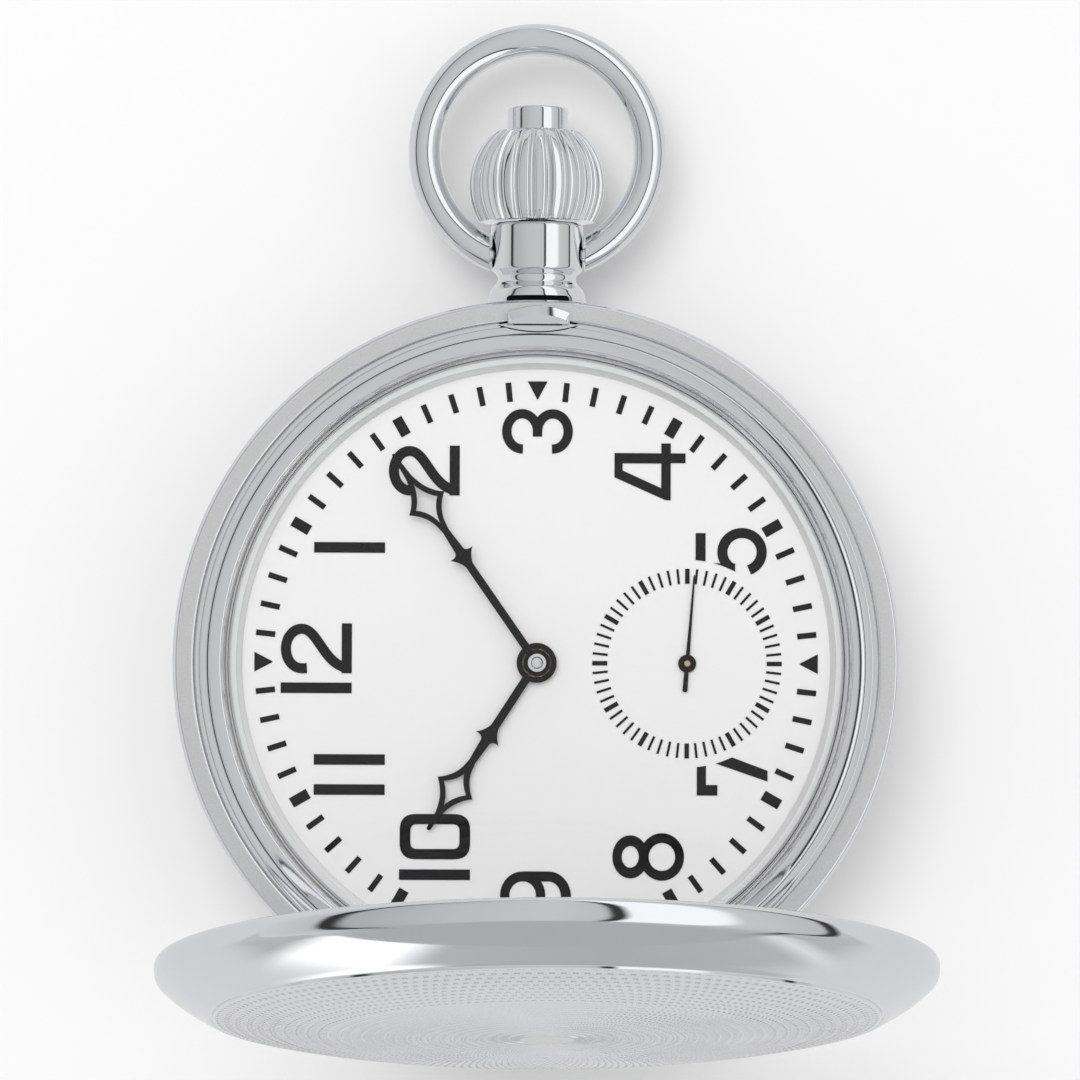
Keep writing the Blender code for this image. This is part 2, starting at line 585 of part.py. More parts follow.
def make_winding_wheels(at):
    ratchet_spot, crown_spot = at["barrel"], at["crown_wheel"]
    phase = tooth_towards(ratchet_spot, crown_spot)
    wheel = gear(RATCHET_TEETH, RATCHET_MODULE, 1.05, 1.45, phase, ratchet_spot)
    wheel = place(wheel, "ratchet_wheel", STEEL, (*ratchet_spot, 0))
    cut(wheel, rod(0.65, 0, 3, point=(*ratchet_spot, 0)))
    phase = gap_towards(crown_spot, ratchet_spot, CROWN_WHEEL_TEETH)
    wheel = gear(CROWN_WHEEL_TEETH, RATCHET_MODULE, 1.05, 1.45, phase, crown_spot)
    wheel = place(wheel, "crown_wheel", STEEL, (*crown_spot, 0))
    contrate = [(2.6, 1.3), (3.2, 1.3), (3.2, 1.95), (2.6, 1.95)]
    contrate = turned(contrate, MEDIUM_FACETS, point=(*crown_spot, 0))
    add(wheel, contrate)
    spindle = [
        (0, 1.2), (0.6, 1.2), (0.6, 1.5), (0.8, 1.5), (0.8, 4.4), (0.62, 4.4), (0.62, 5.1), (0, 5.1),
    ]
    spindle = turned(spindle, SMALL_FACETS, point=(*ratchet_spot, 0))
    spindle = place(spindle, "barrel_arbor", STEEL, (*ratchet_spot, 0))
    cut(spindle, rod(0.34, 0, 2.4, point=(*ratchet_spot, 0)))
    make_screw("ratchet_screw", ratchet_spot, 0.72, 1.0, 1.3, 0.3, 2.2)
    click_spot = (-4.3, 12.4)
    beak = offset(ratchet_spot, 5.95, math.radians(82))
    click = place(slab(capsule(click_spot, beak, 0.7, 0.12), 1.08, 1.42), "click", STEEL, (*click_spot, 0))
    add(click, rod(0.3, 1.3, 2.15, point=(*click_spot, 0)))


def make_barrel(at):
    x, y = at["barrel"]
    module = 2 * math.hypot(x, y) / (BARREL_TEETH + CENTRE_LEAVES)
    teeth = gear(BARREL_TEETH, module, 2.75, 3.15, tooth_towards((x, y), (0, 0)), (x, y))
    drum = place(teeth, "barrel_drum", BRASS, (x, y, 0))
    add(drum, rod(7.05, 2.65, 3.85, point=(x, y, 0), facets=MEDIUM_FACETS))
    cut(drum, rod(6.6, 2.85, 5, point=(x, y, 0), facets=MEDIUM_FACETS))
    cut(drum, rod(0.9, 2, 5, point=(x, y, 0)))
    cover = turned([(0.9, 3.62), (6.52, 3.62), (6.52, 3.82), (0.9, 3.82)], MEDIUM_FACETS, point=(x, y, 0))
    place(cover, "barrel_cover", BRASS, (x, y, 0))
    place(strip_spiral(1.0, 6.3, 4, 56, 0.18, 2.92, 3.55, (x, y)), "mainspring", BRUSHED, (x, y, 0))
    return module


def make_train(at, barrel_module):
    thickness = WHEEL_THICKNESS
    centre, third, fourth, escape = (at[k] for k in ("centre", "third", "fourth", "escape"))

    shaft = turned(
        [
            (0, 1.65), (0.28, 1.65), (0.28, 2.5), (0.5, 2.5), (0.5, 4.3), (0.35, 4.3), (0.35, 8.0), (0, 8.0),
        ],
        SMALL_FACETS,
    )
    wheel = place(shaft, "centre_wheel", BRASS)
    phase = tooth_towards(centre, third)
    add(wheel, gear(CENTRE_TEETH, CENTRE_MODULE, WHEEL_A, WHEEL_A + thickness, phase))
    phase = gap_towards(centre, at["barrel"], CENTRE_LEAVES)
    add(wheel, gear(CENTRE_LEAVES, barrel_module, 2.6, 3.3, phase))

    wheel = place(arbor(0.14, 0.3, (1.7, 2.5, 4.44, 5.1), third), "third_wheel", BRASS, (*third, 0))
    phase = tooth_towards(third, fourth)
    add(wheel, gear(THIRD_TEETH, THIRD_MODULE, WHEEL_B, WHEEL_B + thickness, phase, third))
    phase = gap_towards(third, centre, THIRD_LEAVES)
    add(wheel, gear(THIRD_LEAVES, CENTRE_MODULE, 3.55, 4.35, phase, third))

    shaft = [
        (0, 1.7), (0.14, 1.7), (0.14, 2.5), (0.28, 2.5), (0.28, 4.4), (0.2, 4.4), (0.2, 7.45), (0, 7.45),
    ]
    wheel = place(turned(shaft, SMALL_FACETS, point=(*fourth, 0)), "fourth_wheel", BRASS, (*fourth, 0))
    phase = tooth_towards(fourth, escape)
    add(wheel, gear(FOURTH_TEETH, FOURTH_MODULE, WHEEL_C, WHEEL_C + thickness, phase, fourth))
    phase = gap_towards(fourth, third, FOURTH_LEAVES)
    add(wheel, gear(FOURTH_LEAVES, THIRD_MODULE, 2.95, 3.75, phase, fourth))

    wheel = place(arbor(0.14, 0.22, (1.7, 2.5, 4.44, 5.1), escape), "escape_wheel", STEEL, (*escape, 0))
    phase = gap_towards(escape, fourth, ESCAPE_LEAVES)
    add(wheel, gear(ESCAPE_LEAVES, FOURTH_MODULE, 2.65, 3.2, phase, escape))
    teeth = []
    for k in range(15):
        angle = 2 * math.pi * k / 15
        teeth.append(offset(escape, 2.45, angle))
        teeth.append(offset(escape, 1.8, angle + 0.08))
        teeth.append(offset(escape, 1.75, angle + 0.3))
    add(wheel, slab(teeth, WHEEL_B, WHEEL_B + thickness))


def make_escapement(at):
    escape, pallet, balance = (at[k] for k in ("escape", "pallet", "balance"))
    ahead = direction(escape, balance)
    lever = place(arbor(0.14, 0.22, (2.9, 3.3, 4.44, 5.1), pallet), "pallet_fork", STEEL, (*pallet, 0))
    fork_end = offset(pallet, 4.4, ahead)
    add(lever, slab(capsule(pallet, fork_end, 0.32, 0.22), WHEEL_B, WHEEL_B + 0.2))
    for side in (-1, 1):
        tip = offset(escape, 3.0, ahead + side * math.radians(34))
        add(lever, slab(capsule(pallet, tip, 0.22, 0.12), WHEEL_B + 0.01, WHEEL_B + 0.19))

    staff = [
        (0, 1.1), (0.14, 1.1), (0.14, 1.7), (0.3, 1.7), (0.3, 3.2), (0.9, 3.2), (0.9, 3.38), (0.3, 3.38),
        (0.3, 4.44), (0.14, 4.44), (0.14, 5.1), (0, 5.1),
    ]
    wheel = place(turned(staff, SMALL_FACETS, point=(*balance, 0)), "balance_wheel", BRASS, (*balance, 0))
    rim = ring(4.55, 5.1, 2.3, 2.7, MEDIUM_FACETS)
    rim.transform(Matrix.Translation((*balance, 0)))
    add(wheel, rim)
    for k in range(3):
        angle = ahead + 2 * math.pi * k / 3
        spoke = slab(capsule(balance, offset(balance, 4.7, angle), 0.35, 0.25), 2.4, 2.6)
        add(wheel, spoke)
    spring = strip_spiral(0.5, 3.3, 3, 42, 0.1, 1.85, 2.1, balance)
    place(spring, "hairspring", BRUSHED, (*balance, 0))


def make_motion_works(at):
    centre, minute, setting = (at[k] for k in ("centre", "minute", "setting"))
    cannon = gear(CANNON_TEETH, MOTION_MODULE, 5.8, 6.12, tooth_towards(centre, minute))
    cannon = place(cannon, "cannon_pinion", STEEL)
    add(cannon, rod(0.6, 5.76, 8.05, facets=MEDIUM_FACETS // 2))
    cut(cannon, rod(0.4, 5, 9))

    phase = gap_towards(minute, centre, MINUTE_TEETH)
    wheel = gear(MINUTE_TEETH, MOTION_MODULE, 5.8, 6.1, phase, minute)
    wheel = place(wheel, "minute_wheel", BRASS, (*minute, 0))
    add(wheel, gear(MINUTE_LEAVES, MOTION_MODULE, 6.0, 6.5, tooth_towards(minute, centre), minute))
    add(wheel, rod(0.25, 5.1, 6.3, point=(*minute, 0)))

    hour = gear(HOUR_TEETH, MOTION_MODULE, 6.2, 6.45, gap_towards(centre, minute, HOUR_TEETH))
    hour = place(hour, "hour_wheel", BRASS)
    add(hour, rod(0.95, 6.25, 7.52, facets=MEDIUM_FACETS // 2))
    cut(hour, rod(0.7, 5, 9))

    # The phase of the gap faces the tooth of the minute wheel nearest to the line between the two arbors.
    step = 2 * math.pi / MINUTE_TEETH
    line = direction(minute, setting)
    lag = (line - phase) / step
    lag = (lag - round(lag)) * step
    turn = gap_towards(setting, minute, SETTING_TEETH) + lag * MINUTE_TEETH / SETTING_TEETH
    wheel = gear(SETTING_TEETH, MOTION_MODULE, 5.8, 6.1, turn, setting)
    wheel = place(wheel, "setting_wheel", STEEL, (*setting, 0))
    add(wheel, rod(0.25, 5.1, 5.9, point=(*setting, 0)))

    lever_spot, lever_tip = (4.6, 13.2), (1.1, 15.3)
    lever = slab(capsule(lever_spot, lever_tip, 0.75, 0.35), 5.8, 6.1)
    place(lever, "setting_lever", STEEL, (*lever_spot, 0))
    yoke_spot, yoke_tip = (-4.8, 14.6), (-0.6, 12.1)
    place(slab(capsule(yoke_spot, yoke_tip, 0.75, 0.35), 5.8, 6.1), "yoke", STEEL, (*yoke_spot, 0))


# Hands.


def hand_outline(length, hub, shaft, barb_at, lozenge):
    """A hand along +X with a pair of barbs on its shaft and a concave lozenge before its tip.

    The lozenge is given by the distances where it starts, is widest and ends, and by its half width.
    """
    start, widest, end, half = lozenge
    upper = [
        (hub * 0.9, shaft),
        (barb_at - 0.25, shaft), (barb_at, shaft + 0.7), (barb_at + 0.35, shaft + 0.25), (barb_at + 0.8, shaft),
        (start, shaft + 0.06), ((start + widest) / 2, half * 0.55), (widest, half),
        ((widest + end) / 2, half * 0.45), (end, 0.18), (length, 0.07),
    ]
    lower = [(x, -y) for x, y in reversed(upper)]
    return upper + lower + arc(hub, 340, 20, 14)


def make_hands(at):
    minute = hand_outline(16.6, 0.93, 0.2, 8.8, (11.0, 12.83, 15.0, 1.4))
    hour = hand_outline(12.9, 1.35, 0.22, 6.0, (8.2, 9.9, 11.9, 1.38))
    plan = (
        ("minute_hand", minute, MINUTE_ANGLE, 7.72, 7.88, 0.62),
        ("hour_hand", hour, HOUR_ANGLE, 7.3, 7.46, 0.97),
    )
    for name, outline, angle, bottom, top, bore in plan:
        bm = slab(outline, bottom, top)
        bm.transform(Matrix.Rotation(angle, 4, "Z"))
        hand = place(bm, name, BLACK)
        cut(hand, rod(bore, 6, 9, facets=MEDIUM_FACETS // 2))
    outline = [(0.4, 0.1), (5.9, 0.04), (5.9, -0.04), (0.4, -0.1)] + arc(0.6, 350, 190, 8)
    outline += [(-1.9, -0.14), (-1.9, 0.14)] + arc(0.6, 170, 10, 8)
    bm = slab(outline, 7.12, 7.22)
    spot = (*at["fourth"], 0)
    bm.transform(Matrix.Translation(spot) @ Matrix.Rotation(SECONDS_ANGLE, 4, "Z"))
    hand = place(bm, "seconds_hand", BLACK, spot)
    cut(hand, rod(0.22, 6, 9, point=spot))


def main():
    clear_scene()
    at = train_centres()
    make_lid()
    make_case_middle()
    make_back_cover()
    make_bezel_and_glass()
    make_dial()
    make_hinge_and_springs()
    make_catch()
    make_pendant()
    make_bow()
    make_winding_line()
    make_mainplate(at)
    make_bridges(at)
    make_winding_wheels(at)
    barrel_module = make_barrel(at)
    make_train(at, barrel_module)
    make_escapement(at)
    make_motion_works(at)
    make_hands(at)


main()
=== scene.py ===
"""Looks of the open hunter-case pocket watch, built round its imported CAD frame.

Lengths are in millimetres and become metres when a piece is made. The frame is the CAD's: the watch lies
on its back, the dial faces +Z, the crown points along +Y and the lid stands open at -Y.
"""

import json
import math

import bmesh
import bpy
from mathutils import Matrix, Vector


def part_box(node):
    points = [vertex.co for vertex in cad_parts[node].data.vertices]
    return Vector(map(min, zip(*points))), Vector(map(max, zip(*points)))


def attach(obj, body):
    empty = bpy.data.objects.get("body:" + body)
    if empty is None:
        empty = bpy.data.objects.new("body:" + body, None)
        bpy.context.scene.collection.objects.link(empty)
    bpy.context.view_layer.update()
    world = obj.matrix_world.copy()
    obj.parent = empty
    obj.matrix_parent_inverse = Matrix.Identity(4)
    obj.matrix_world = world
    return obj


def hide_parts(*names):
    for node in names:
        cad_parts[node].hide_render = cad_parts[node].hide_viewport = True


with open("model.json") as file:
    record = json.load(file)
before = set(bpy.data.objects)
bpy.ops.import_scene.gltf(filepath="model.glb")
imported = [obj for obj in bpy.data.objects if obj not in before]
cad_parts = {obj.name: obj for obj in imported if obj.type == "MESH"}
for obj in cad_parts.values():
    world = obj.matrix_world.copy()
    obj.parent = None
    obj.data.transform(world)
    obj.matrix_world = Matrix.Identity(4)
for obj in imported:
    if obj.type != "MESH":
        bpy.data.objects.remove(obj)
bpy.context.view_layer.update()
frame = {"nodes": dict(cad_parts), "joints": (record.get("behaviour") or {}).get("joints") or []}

MM = 0.001
ON_AXIS = 1e-6
SHARP_EDGE = math.radians(35)
ORIGIN = (0.0, 0.0, 0.0)
X_AXIS, Y_AXIS, Z_AXIS = (1, 0, 0), (0, 1, 0), (0, 0, 1)


# Measures read from the frame.


def low_of(node):
    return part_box(node)[0] / MM


def high_of(node):
    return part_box(node)[1] / MM


def joint_of(name):
    return next(j for j in frame["joints"] if j["name"] == name)


def joint_point(name):
    return Vector(joint_of(name)["pos_m"]) / MM


CASE_RADIUS = high_of("back_cover").x
BAND_BOTTOM = low_of("case_middle").z
BACK_DEPTH = BAND_BOTTOM - 0.1
NECK_TOP = high_of("case_middle").z
HINGE_PIN = joint_point("lid_hinge")
LID_OPEN = -math.radians(joint_of("lid_hinge")["range_deg"][0])
STEM_Z = joint_point("crown_spin").z
STEM_POINT = (0, 0, STEM_Z)
BOW_PIVOT = joint_point("bow_swing")
SECONDS_X = joint_point("seconds_run").x
DIAL_BOTTOM, DIAL_TOP = low_of("dial").z, high_of("dial").z
DIAL_RADIUS = high_of("dial").x
CRYSTAL_TOP, CRYSTAL_BOTTOM = high_of("crystal").z, low_of("crystal").z
CRYSTAL_RADIUS = high_of("crystal").x
BUTTON_TOP_Y = high_of("release_button").y

# Case: the matt seat of the lid, the groove inside it, and the channel under them that the catch slides in.
SEAT_Z, SEAT_INNER, SEAT_OUTER = 8.0, 22.85, 23.86
GROOVE_OUTER, GROOVE_INNER, GROOVE_FLOOR = 22.68, 22.32, 7.45
NECK_RADIUS, CASE_BORE = 21.79, 21.45
CHANNEL_RADIUS, CHANNEL_FLOOR, CHANNEL_ROOF = 23.2, 3.9, 6.9
SHOULDER_Z = 7.72
CASE_FACETS = 288
EDGE_ROUNDING = 0.09

# The catch's hollow in the neck of the case.
HOLLOW_HALF, HOLLOW_Y, HOLLOW_DIP, HOLLOW_FLOOR = 2.65, 22.36, 0.84, 7.85
SEAM_WIDTH, SEAM_FLOOR = 0.1, 7.5
ABOVE = 10.0

# Lid, drawn closed: heights are above the plane of its rim.
LID_PLANE_Z = 8.1
LID_RADIUS = 24.45
LID_STEP_RADIUS, LID_STEP_HEIGHT = 21.2, 3.59
LID_DOME_HEIGHT, LID_WALL, DOME_EXPONENT = 4.94, 0.6, 4
LID_FACETS, LID_INNER_FACETS = 720, 240
GRAIN_COUNT, GRAIN_ROW, GRAIN_DEPTH = 180, 0.7, 0.045
GRAIN_INNER, GRAIN_ROWS, ROW_SAMPLES = 1.7, 27, 4
GRAIN_OUTER = GRAIN_INNER + GRAIN_ROW * GRAIN_ROWS
# Beyond the first radius the engine turning's cuts get a darker colour, painted shade; beyond the second the
# painted cuts are wider.
CUT_INNER, DEEP_CUT_INNER = 14.2, 17.0
NOTCH_HALF, NOTCH_HEIGHT, NOTCH_RADIUS = 5.8, 0.95, 23.8

# Hinge.
KNUCKLE_RADIUS, KNUCKLE_BORE = 0.85, 0.5
LID_KNUCKLE_HALF = 1.8
CASE_KNUCKLE_SPAN = (1.9, 5.4)

# Bow and crown.
BOW_CENTRE_Y, BOW_RADIUS, BOW_WIRE, BOW_GAP = 34.2, 7.53, 1.08, 3.2
CROWN_CENTRE_Y, CROWN_RADIUS = 31.93, 4.575
CROWN_BOTTOM_Y, CROWN_TOP_Y, CROWN_SINK_Y = 29.5, 35.6, 33.4
RIB_COUNT, RIB_SHARE, RIB_DEPTH, RIB_SAMPLES = 24, 0.58, 0.3, 16
RIB_CROWN = 0.05
BUTTON_RADIUS = 2.03
PENDANT_BOTTOM_Y, PENDANT_TOP_Y = 23.4, 29.4
RECESS_HALF, RECESS_LOW_Y, RECESS_HIGH_Y, RECESS_FLOOR = 2.1, 23.9, 24.42, 6.4

# Dial printing and hands.
PRINT_BOTTOM, PRINT_TOP, PRINT_BEVEL = DIAL_TOP - 0.02, DIAL_TOP + 0.05, 0.012
TRACK_INNER, TRACK_OUTER, MARKER_INNER = 17.42, 18.7, 17.5
SECONDS_INNER, SECONDS_OUTER, SECONDS_CLEAR = 5.3, 6.3, 6.9
NUMERAL_HEIGHT, STROKE, THIN_STROKE = 4.7, 0.67, 0.62
USUAL_RADIUS, NUMERAL_RADIUS = 14.7, {9: 15.4, 3: 15.4, 10: 14.0}
NUMERAL_GAP = {"11": 1.29, "12": 0.6, "10": 0.67}
NUMERAL_SHIFT = {
    1: (0.3, 0.25), 2: (-0.15, 0), 4: (0.15, 0), 5: (0.2, 0.1), 7: (0.3, 0.25), 8: (0.15, -0.1),
    10: (0.3, -0.1), 11: (0.35, -0.1), 12: (0.1, 0.25),
}
HOUR_ANGLE, MINUTE_ANGLE = math.radians(-122.9), math.radians(124.9)
SECONDS_ANGLE = math.radians(85.5)

# Light: the levels of the soft room, of its far side behind the hinge, of the floor's painted reflection in
# polished metal, of the backdrop, and of a bright panel and a dark gap in the gloss. The room's far side
# starts and ends at these parts of the direction along Y.
AMBIENT, HORIZON, FLOOR_PAINTED_REFLECTION, BACKDROP = 0.8, 0.5, 0.76, 0.96
SOFTBOX, GAP = 1.15, 0.04
DUSK_START, DUSK_END = -0.75, -0.9
LAMP_SPOT, LAMP_SIZE, LAMP_WATTS = (-0.25, 0.35, 0.9), 0.7, 3.2

# Half of the floor's side in millimetres, and where its painted reflection fades in behind the hinge, in
# metres.
FLOOR_HALF = 1500
FLOOR_NEAR, FLOOR_FAR = 0.07, 0.14

# Camera, in millimetres and degrees, with its clipping distances in metres.
CAMERA_SPOT, CAMERA_AIM = (-12.3, -2.7, 407.0), (0.2, 8.16, 7.0)
CAMERA_LENS, CAMERA_SENSOR, CAMERA_ROLL = 201.0, 36.0, 0.25
CAMERA_NEAR, CAMERA_FAR = 0.01, 20


# Materials.

# The colour sockets of a Mix node.
MIX_A, MIX_B, MIX_RESULT = 6, 7, 2


def node_of(tree, kind, **values):
    """A shader node with its properties and its inputs set by name."""
    node = tree.nodes.new(kind)
    for name, value in values.items():
        if hasattr(node, name):
            setattr(node, name, value)
        else:
            node.inputs[name.replace("_", " ")].default_value = value
    return node


def finish_of(
    name, colour, metallic, roughness, spread=0.0, tint=0.0, cloud=300.0, grain=0.0,
    grain_scale=9000.0, stretch=(1, 1, 1), coat=0.0, specular=0.5,
):
    """A Principled material: a cloudy change of tint and roughness, and a fine grain as bump."""
    made = bpy.data.materials.new(name)
    made.use_nodes = True
    tree = made.node_tree
    shader = tree.nodes["Principled BSDF"]
    shader.inputs["Metallic"].default_value = metallic
    shader.inputs["Specular IOR Level"].default_value = specular
    shader.inputs["Coat Weight"].default_value = coat
    shader.inputs["Coat Roughness"].default_value = 0.04
    place = node_of(tree, "ShaderNodeTexCoord")
    mapping = node_of(tree, "ShaderNodeMapping", Scale=stretch)
    tree.links.new(place.outputs["Object"], mapping.inputs["Vector"])
    clouds = node_of(tree, "ShaderNodeTexNoise", Scale=cloud, Detail=3.0)
    tree.links.new(mapping.outputs["Vector"], clouds.inputs["Vector"])
    tone = node_of(tree, "ShaderNodeMix", data_type="RGBA")
    tone.inputs[MIX_A].default_value = (*[c * (1 - tint) for c in colour], 1)
    tone.inputs[MIX_B].default_value = (*colour, 1)
    tree.links.new(clouds.outputs["Fac"], tone.inputs["Factor"])
    tree.links.new(tone.outputs[MIX_RESULT], shader.inputs["Base Color"])
    rough = node_of(tree, "ShaderNodeMapRange")
    rough.inputs["From Min"].default_value = 0.3
    rough.inputs["From Max"].default_value = 0.7
    rough.inputs["To Min"].default_value = roughness - spread
    rough.inputs["To Max"].default_value = roughness + spread
    tree.links.new(clouds.outputs["Fac"], rough.inputs["Value"])
    tree.links.new(rough.outputs["Result"], shader.inputs["Roughness"])
    if grain:
        fine = node_of(tree, "ShaderNodeTexNoise", Scale=grain_scale, Detail=2.0)
        bump = node_of(tree, "ShaderNodeBump", Strength=grain, Distance=0.00001)
        tree.links.new(mapping.outputs["Vector"], fine.inputs["Vector"])
        tree.links.new(fine.outputs["Fac"], bump.inputs["Height"])
        tree.links.new(bump.outputs["Normal"], shader.inputs["Normal"])
    return made


def glass_finish():
    """Thin clear glass: a mirror whose cover follows Fresnel, so only its gloss shows."""
    made = finish_of("watch_glass", (1, 1, 1), 1.0, 0.02, spread=0.01, cloud=120.0)
    tree = made.node_tree
    fresnel = node_of(tree, "ShaderNodeFresnel", IOR=1.3)
    cover = node_of(tree, "ShaderNodeMath", operation="MINIMUM")
    cover.inputs[1].default_value = 0.3
    tree.links.new(fresnel.outputs["Fac"], cover.inputs[0])
    tree.links.new(cover.outputs[0], tree.nodes["Principled BSDF"].inputs["Alpha"])
    return made


SILVER = (0.80, 0.81, 0.83)
CHROME = finish_of("polished_metal", SILVER, 1.0, 0.055, 0.02, tint=0.03, grain=0.01, grain_scale=2500)
BLASTED = finish_of(
    "bead_blasted_metal", (0.92, 0.925, 0.93), 1.0, 0.4, 0.08, tint=0.2, cloud=7000, grain=1.0,
    grain_scale=7000,
)
SATIN = finish_of("satin_metal", (0.9, 0.9, 0.9), 0.6, 0.38, 0.05, tint=0.04, grain=0.1)
ENGINE_TURNED = finish_of("engine_turned_metal", SILVER, 1.0, 0.13, 0.04, tint=0.04, grain=0.05)
# Rougher metal for the engine turning's cuts, with a darker colour that is painted shade in the grooves.
CUT_SHADE_METAL = finish_of("engine_cut_painted_shade", (0.6, 0.605, 0.61), 1.0, 0.2, 0.05, tint=0.08, grain=0.1)
BRIGHT_CUT = finish_of("bright_cut_metal", (0.86, 0.87, 0.88), 1.0, 0.03, 0.01, tint=0.02, grain=0.01)
LACQUER = finish_of("dial_lacquer", (0.96, 0.96, 0.955), 0.0, 0.16, 0.03, tint=0.01, cloud=160, coat=0.2)
# Black enamel of the hands and printing, also used as painted shade in the catch's hollow and the pendant's
# recess.
ENAMEL_AND_SHADE = finish_of(
    "black_enamel_and_painted_shade", (0.004, 0.004, 0.0045), 0.0, 0.22, 0.04, tint=0.2, grain=0.05, specular=0.12
)
NYLON = finish_of("clear_nylon", (0.80, 0.81, 0.81), 0.0, 0.42, 0.06, tint=0.05, grain=0.1)
RUBBER = finish_of("seal_black", (0.03, 0.03, 0.032), 0.0, 0.62, 0.08, tint=0.3, grain=0.4)
BRASS = finish_of("gilt_plate", (0.79, 0.6, 0.3), 1.0, 0.3, 0.07, tint=0.1, grain=0.5, stretch=(1, 12, 1))
STEEL = finish_of(
    "ground_steel", (0.62, 0.63, 0.64), 1.0, 0.22, 0.06, tint=0.08, grain=0.3, stretch=(10, 1, 1)
)
GLASS = glass_finish()

# The finish of each material slot of the record, and the gilt nodes that are plated instead.
FINISHES = {
    "polished_case": CHROME,
    "movement_steel": STEEL,
    "gilt_brass": BRASS,
    "white_dial": LACQUER,
    "black_hands": ENAMEL_AND_SHADE,
    "mineral_glass": GLASS,
    "seal_rubber": RUBBER,
}
PLATED = ("movement_ring", "stem_tube")


# Mesh helpers.


def along(axis, point):
    """Turns a shape drawn round Z to lie along the axis, and moves it to the point."""
    turn = Vector(Z_AXIS).rotation_difference(Vector(axis)).to_matrix().to_4x4()
    return Matrix.Translation(Vector(point)) @ turn


def bezier(start, pull, end, steps):
    """Points along a quadratic curve, without its last one."""
    start, pull, end = Vector(start), Vector(pull), Vector(end)
    shares = [k / steps for k in range(steps)]
    return [tuple(start * (1 - t) ** 2 + pull * 2 * t * (1 - t) + end * t**2) for t in shares]


def rounded(outline, radius, steps=4, turning=True):
    """A closed outline with each corner rounded, as far as its two sides leave room for it.

    An outline for turning keeps the corners that lie on its axis.
    """
    corners = [Vector(p) for p in outline]
    out = []
    for k, corner in enumerate(corners):
        back, ahead = corners[k - 1] - corner, corners[(k + 1) % len(corners)] - corner
        reach = min(radius, 0.45 * back.length, 0.45 * ahead.length)
        if (turning and corner.x < ON_AXIS) or reach < 1e-4:
            out.append(tuple(corner))
            continue
        start, end = corner + back.normalized() * reach, corner + ahead.normalized() * reach
        out += bezier(start, corner, end, steps) + [tuple(end)]
    return out


def turned(outline, facets, axis=Z_AXIS, point=ORIGIN, shape=None):
    """A turned solid: a closed outline of (radius, height) spun about the axis.

    A point may name its own number of facets as a third value. The shape function moves a point of the
    ring at an angle.
    """
    bm = bmesh.new()
    rings = []
    for radius, height, *own in outline:
        if radius < ON_AXIS:
            rings.append([bm.verts.new((0, 0, height))])
            continue
        count = own[0] if own else facets
        row = []
        for k in range(count):
            angle = 2 * math.pi * k / count
            r, h = shape(radius, height, angle) if shape else (radius, height)
            row.append(bm.verts.new((r * math.cos(angle), r * math.sin(angle), h)))
        rings.append(row)
    for row, other in zip(rings, rings[1:] + rings[:1]):
        stitch(bm, row, other)
    bm.transform(along(axis, point))
    return bm


def stitch(bm, row, other):
    """Faces between two rings, where one may be a point or have several times the other's facets."""
    if len(row) == 1 and len(other) == 1:
        return
    if len(row) < len(other):
        row, other = other, row
    ratio = len(row) // len(other)
    for k in range(len(other) if len(other) > 1 else len(row)):
        if len(other) == 1:
            bm.faces.new((row[k - 1], row[k], other[0]))
            continue
        run = [row[(k * ratio + j) % len(row)] for j in range(ratio + 1)]
        bm.faces.new([*run, other[(k + 1) % len(other)], other[k]])


def tube(inner, outer, start, end, axis=Z_AXIS, point=ORIGIN, facets=96, edge=0.05):
    """A hollow round bar with rounded edges."""
    outline = [(inner, start), (outer, start), (outer, end), (inner, end)]
    return turned(rounded(outline, edge, 3), facets, axis, point)


def rod(radius, start, end, axis=Z_AXIS, point=ORIGIN, facets=48, edge=0.05):
    """A round bar, with rounded edges unless the edge is 0."""
    outline = [(0, start), (radius, start), (radius, end), (0, end)]
    return turned(rounded(outline, edge, 3) if edge else outline, facets, axis, point)


def block(low, high):
    """A box between two corners, for cutting and joining."""
    bm = bmesh.new()
    size, middle = Vector(high) - Vector(low), (Vector(high) + Vector(low)) / 2
    bmesh.ops.create_cube(bm, size=1, matrix=Matrix.Translation(middle) @ Matrix.Diagonal((*size, 1)))
    return bm


def loft(rows):
    """A closed solid through several loops with the same number of points."""
    bm = bmesh.new()
    loops = [[bm.verts.new(p) for p in row] for row in rows]
    for loop, other in zip(loops, loops[1:]):
        for k in range(len(loop)):
            bm.faces.new((loop[k - 1], loop[k], other[k], other[k - 1]))
    bm.faces.new(loops[0])
    bm.faces.new(loops[-1])
    return bm


def flat(outlines, bottom, top, bevel=0.0):
    """A flat plate with the (x, y) outlines, where an outline inside another is a hole."""
    curve = bpy.data.curves.new("plate", "CURVE")
    curve.dimensions, curve.fill_mode = "2D", "BOTH"
    for outline in outlines:
        spline = curve.splines.new("POLY")
        spline.points.add(len(outline) - 1)
        for point, (x, y) in zip(spline.points, outline):
            point.co = (x, y, 0, 1)
        spline.use_cyclic_u = True
    curve.extrude = (top - bottom) / 2 - bevel
    curve.bevel_depth, curve.bevel_resolution, curve.offset = bevel, 1, -bevel
    drawn = bpy.data.objects.new("plate", curve)
    mesh = bpy.data.meshes.new_from_object(drawn)
    bm = bmesh.new()
    bm.from_mesh(mesh)
    bmesh.ops.remove_doubles(bm, verts=bm.verts, dist=1e-4)
    bmesh.ops.translate(bm, verts=bm.verts, vec=(0, 0, (top + bottom) / 2))
    bpy.data.objects.remove(drawn)
    bpy.data.curves.remove(curve)
    bpy.data.meshes.remove(mesh)
    return bm


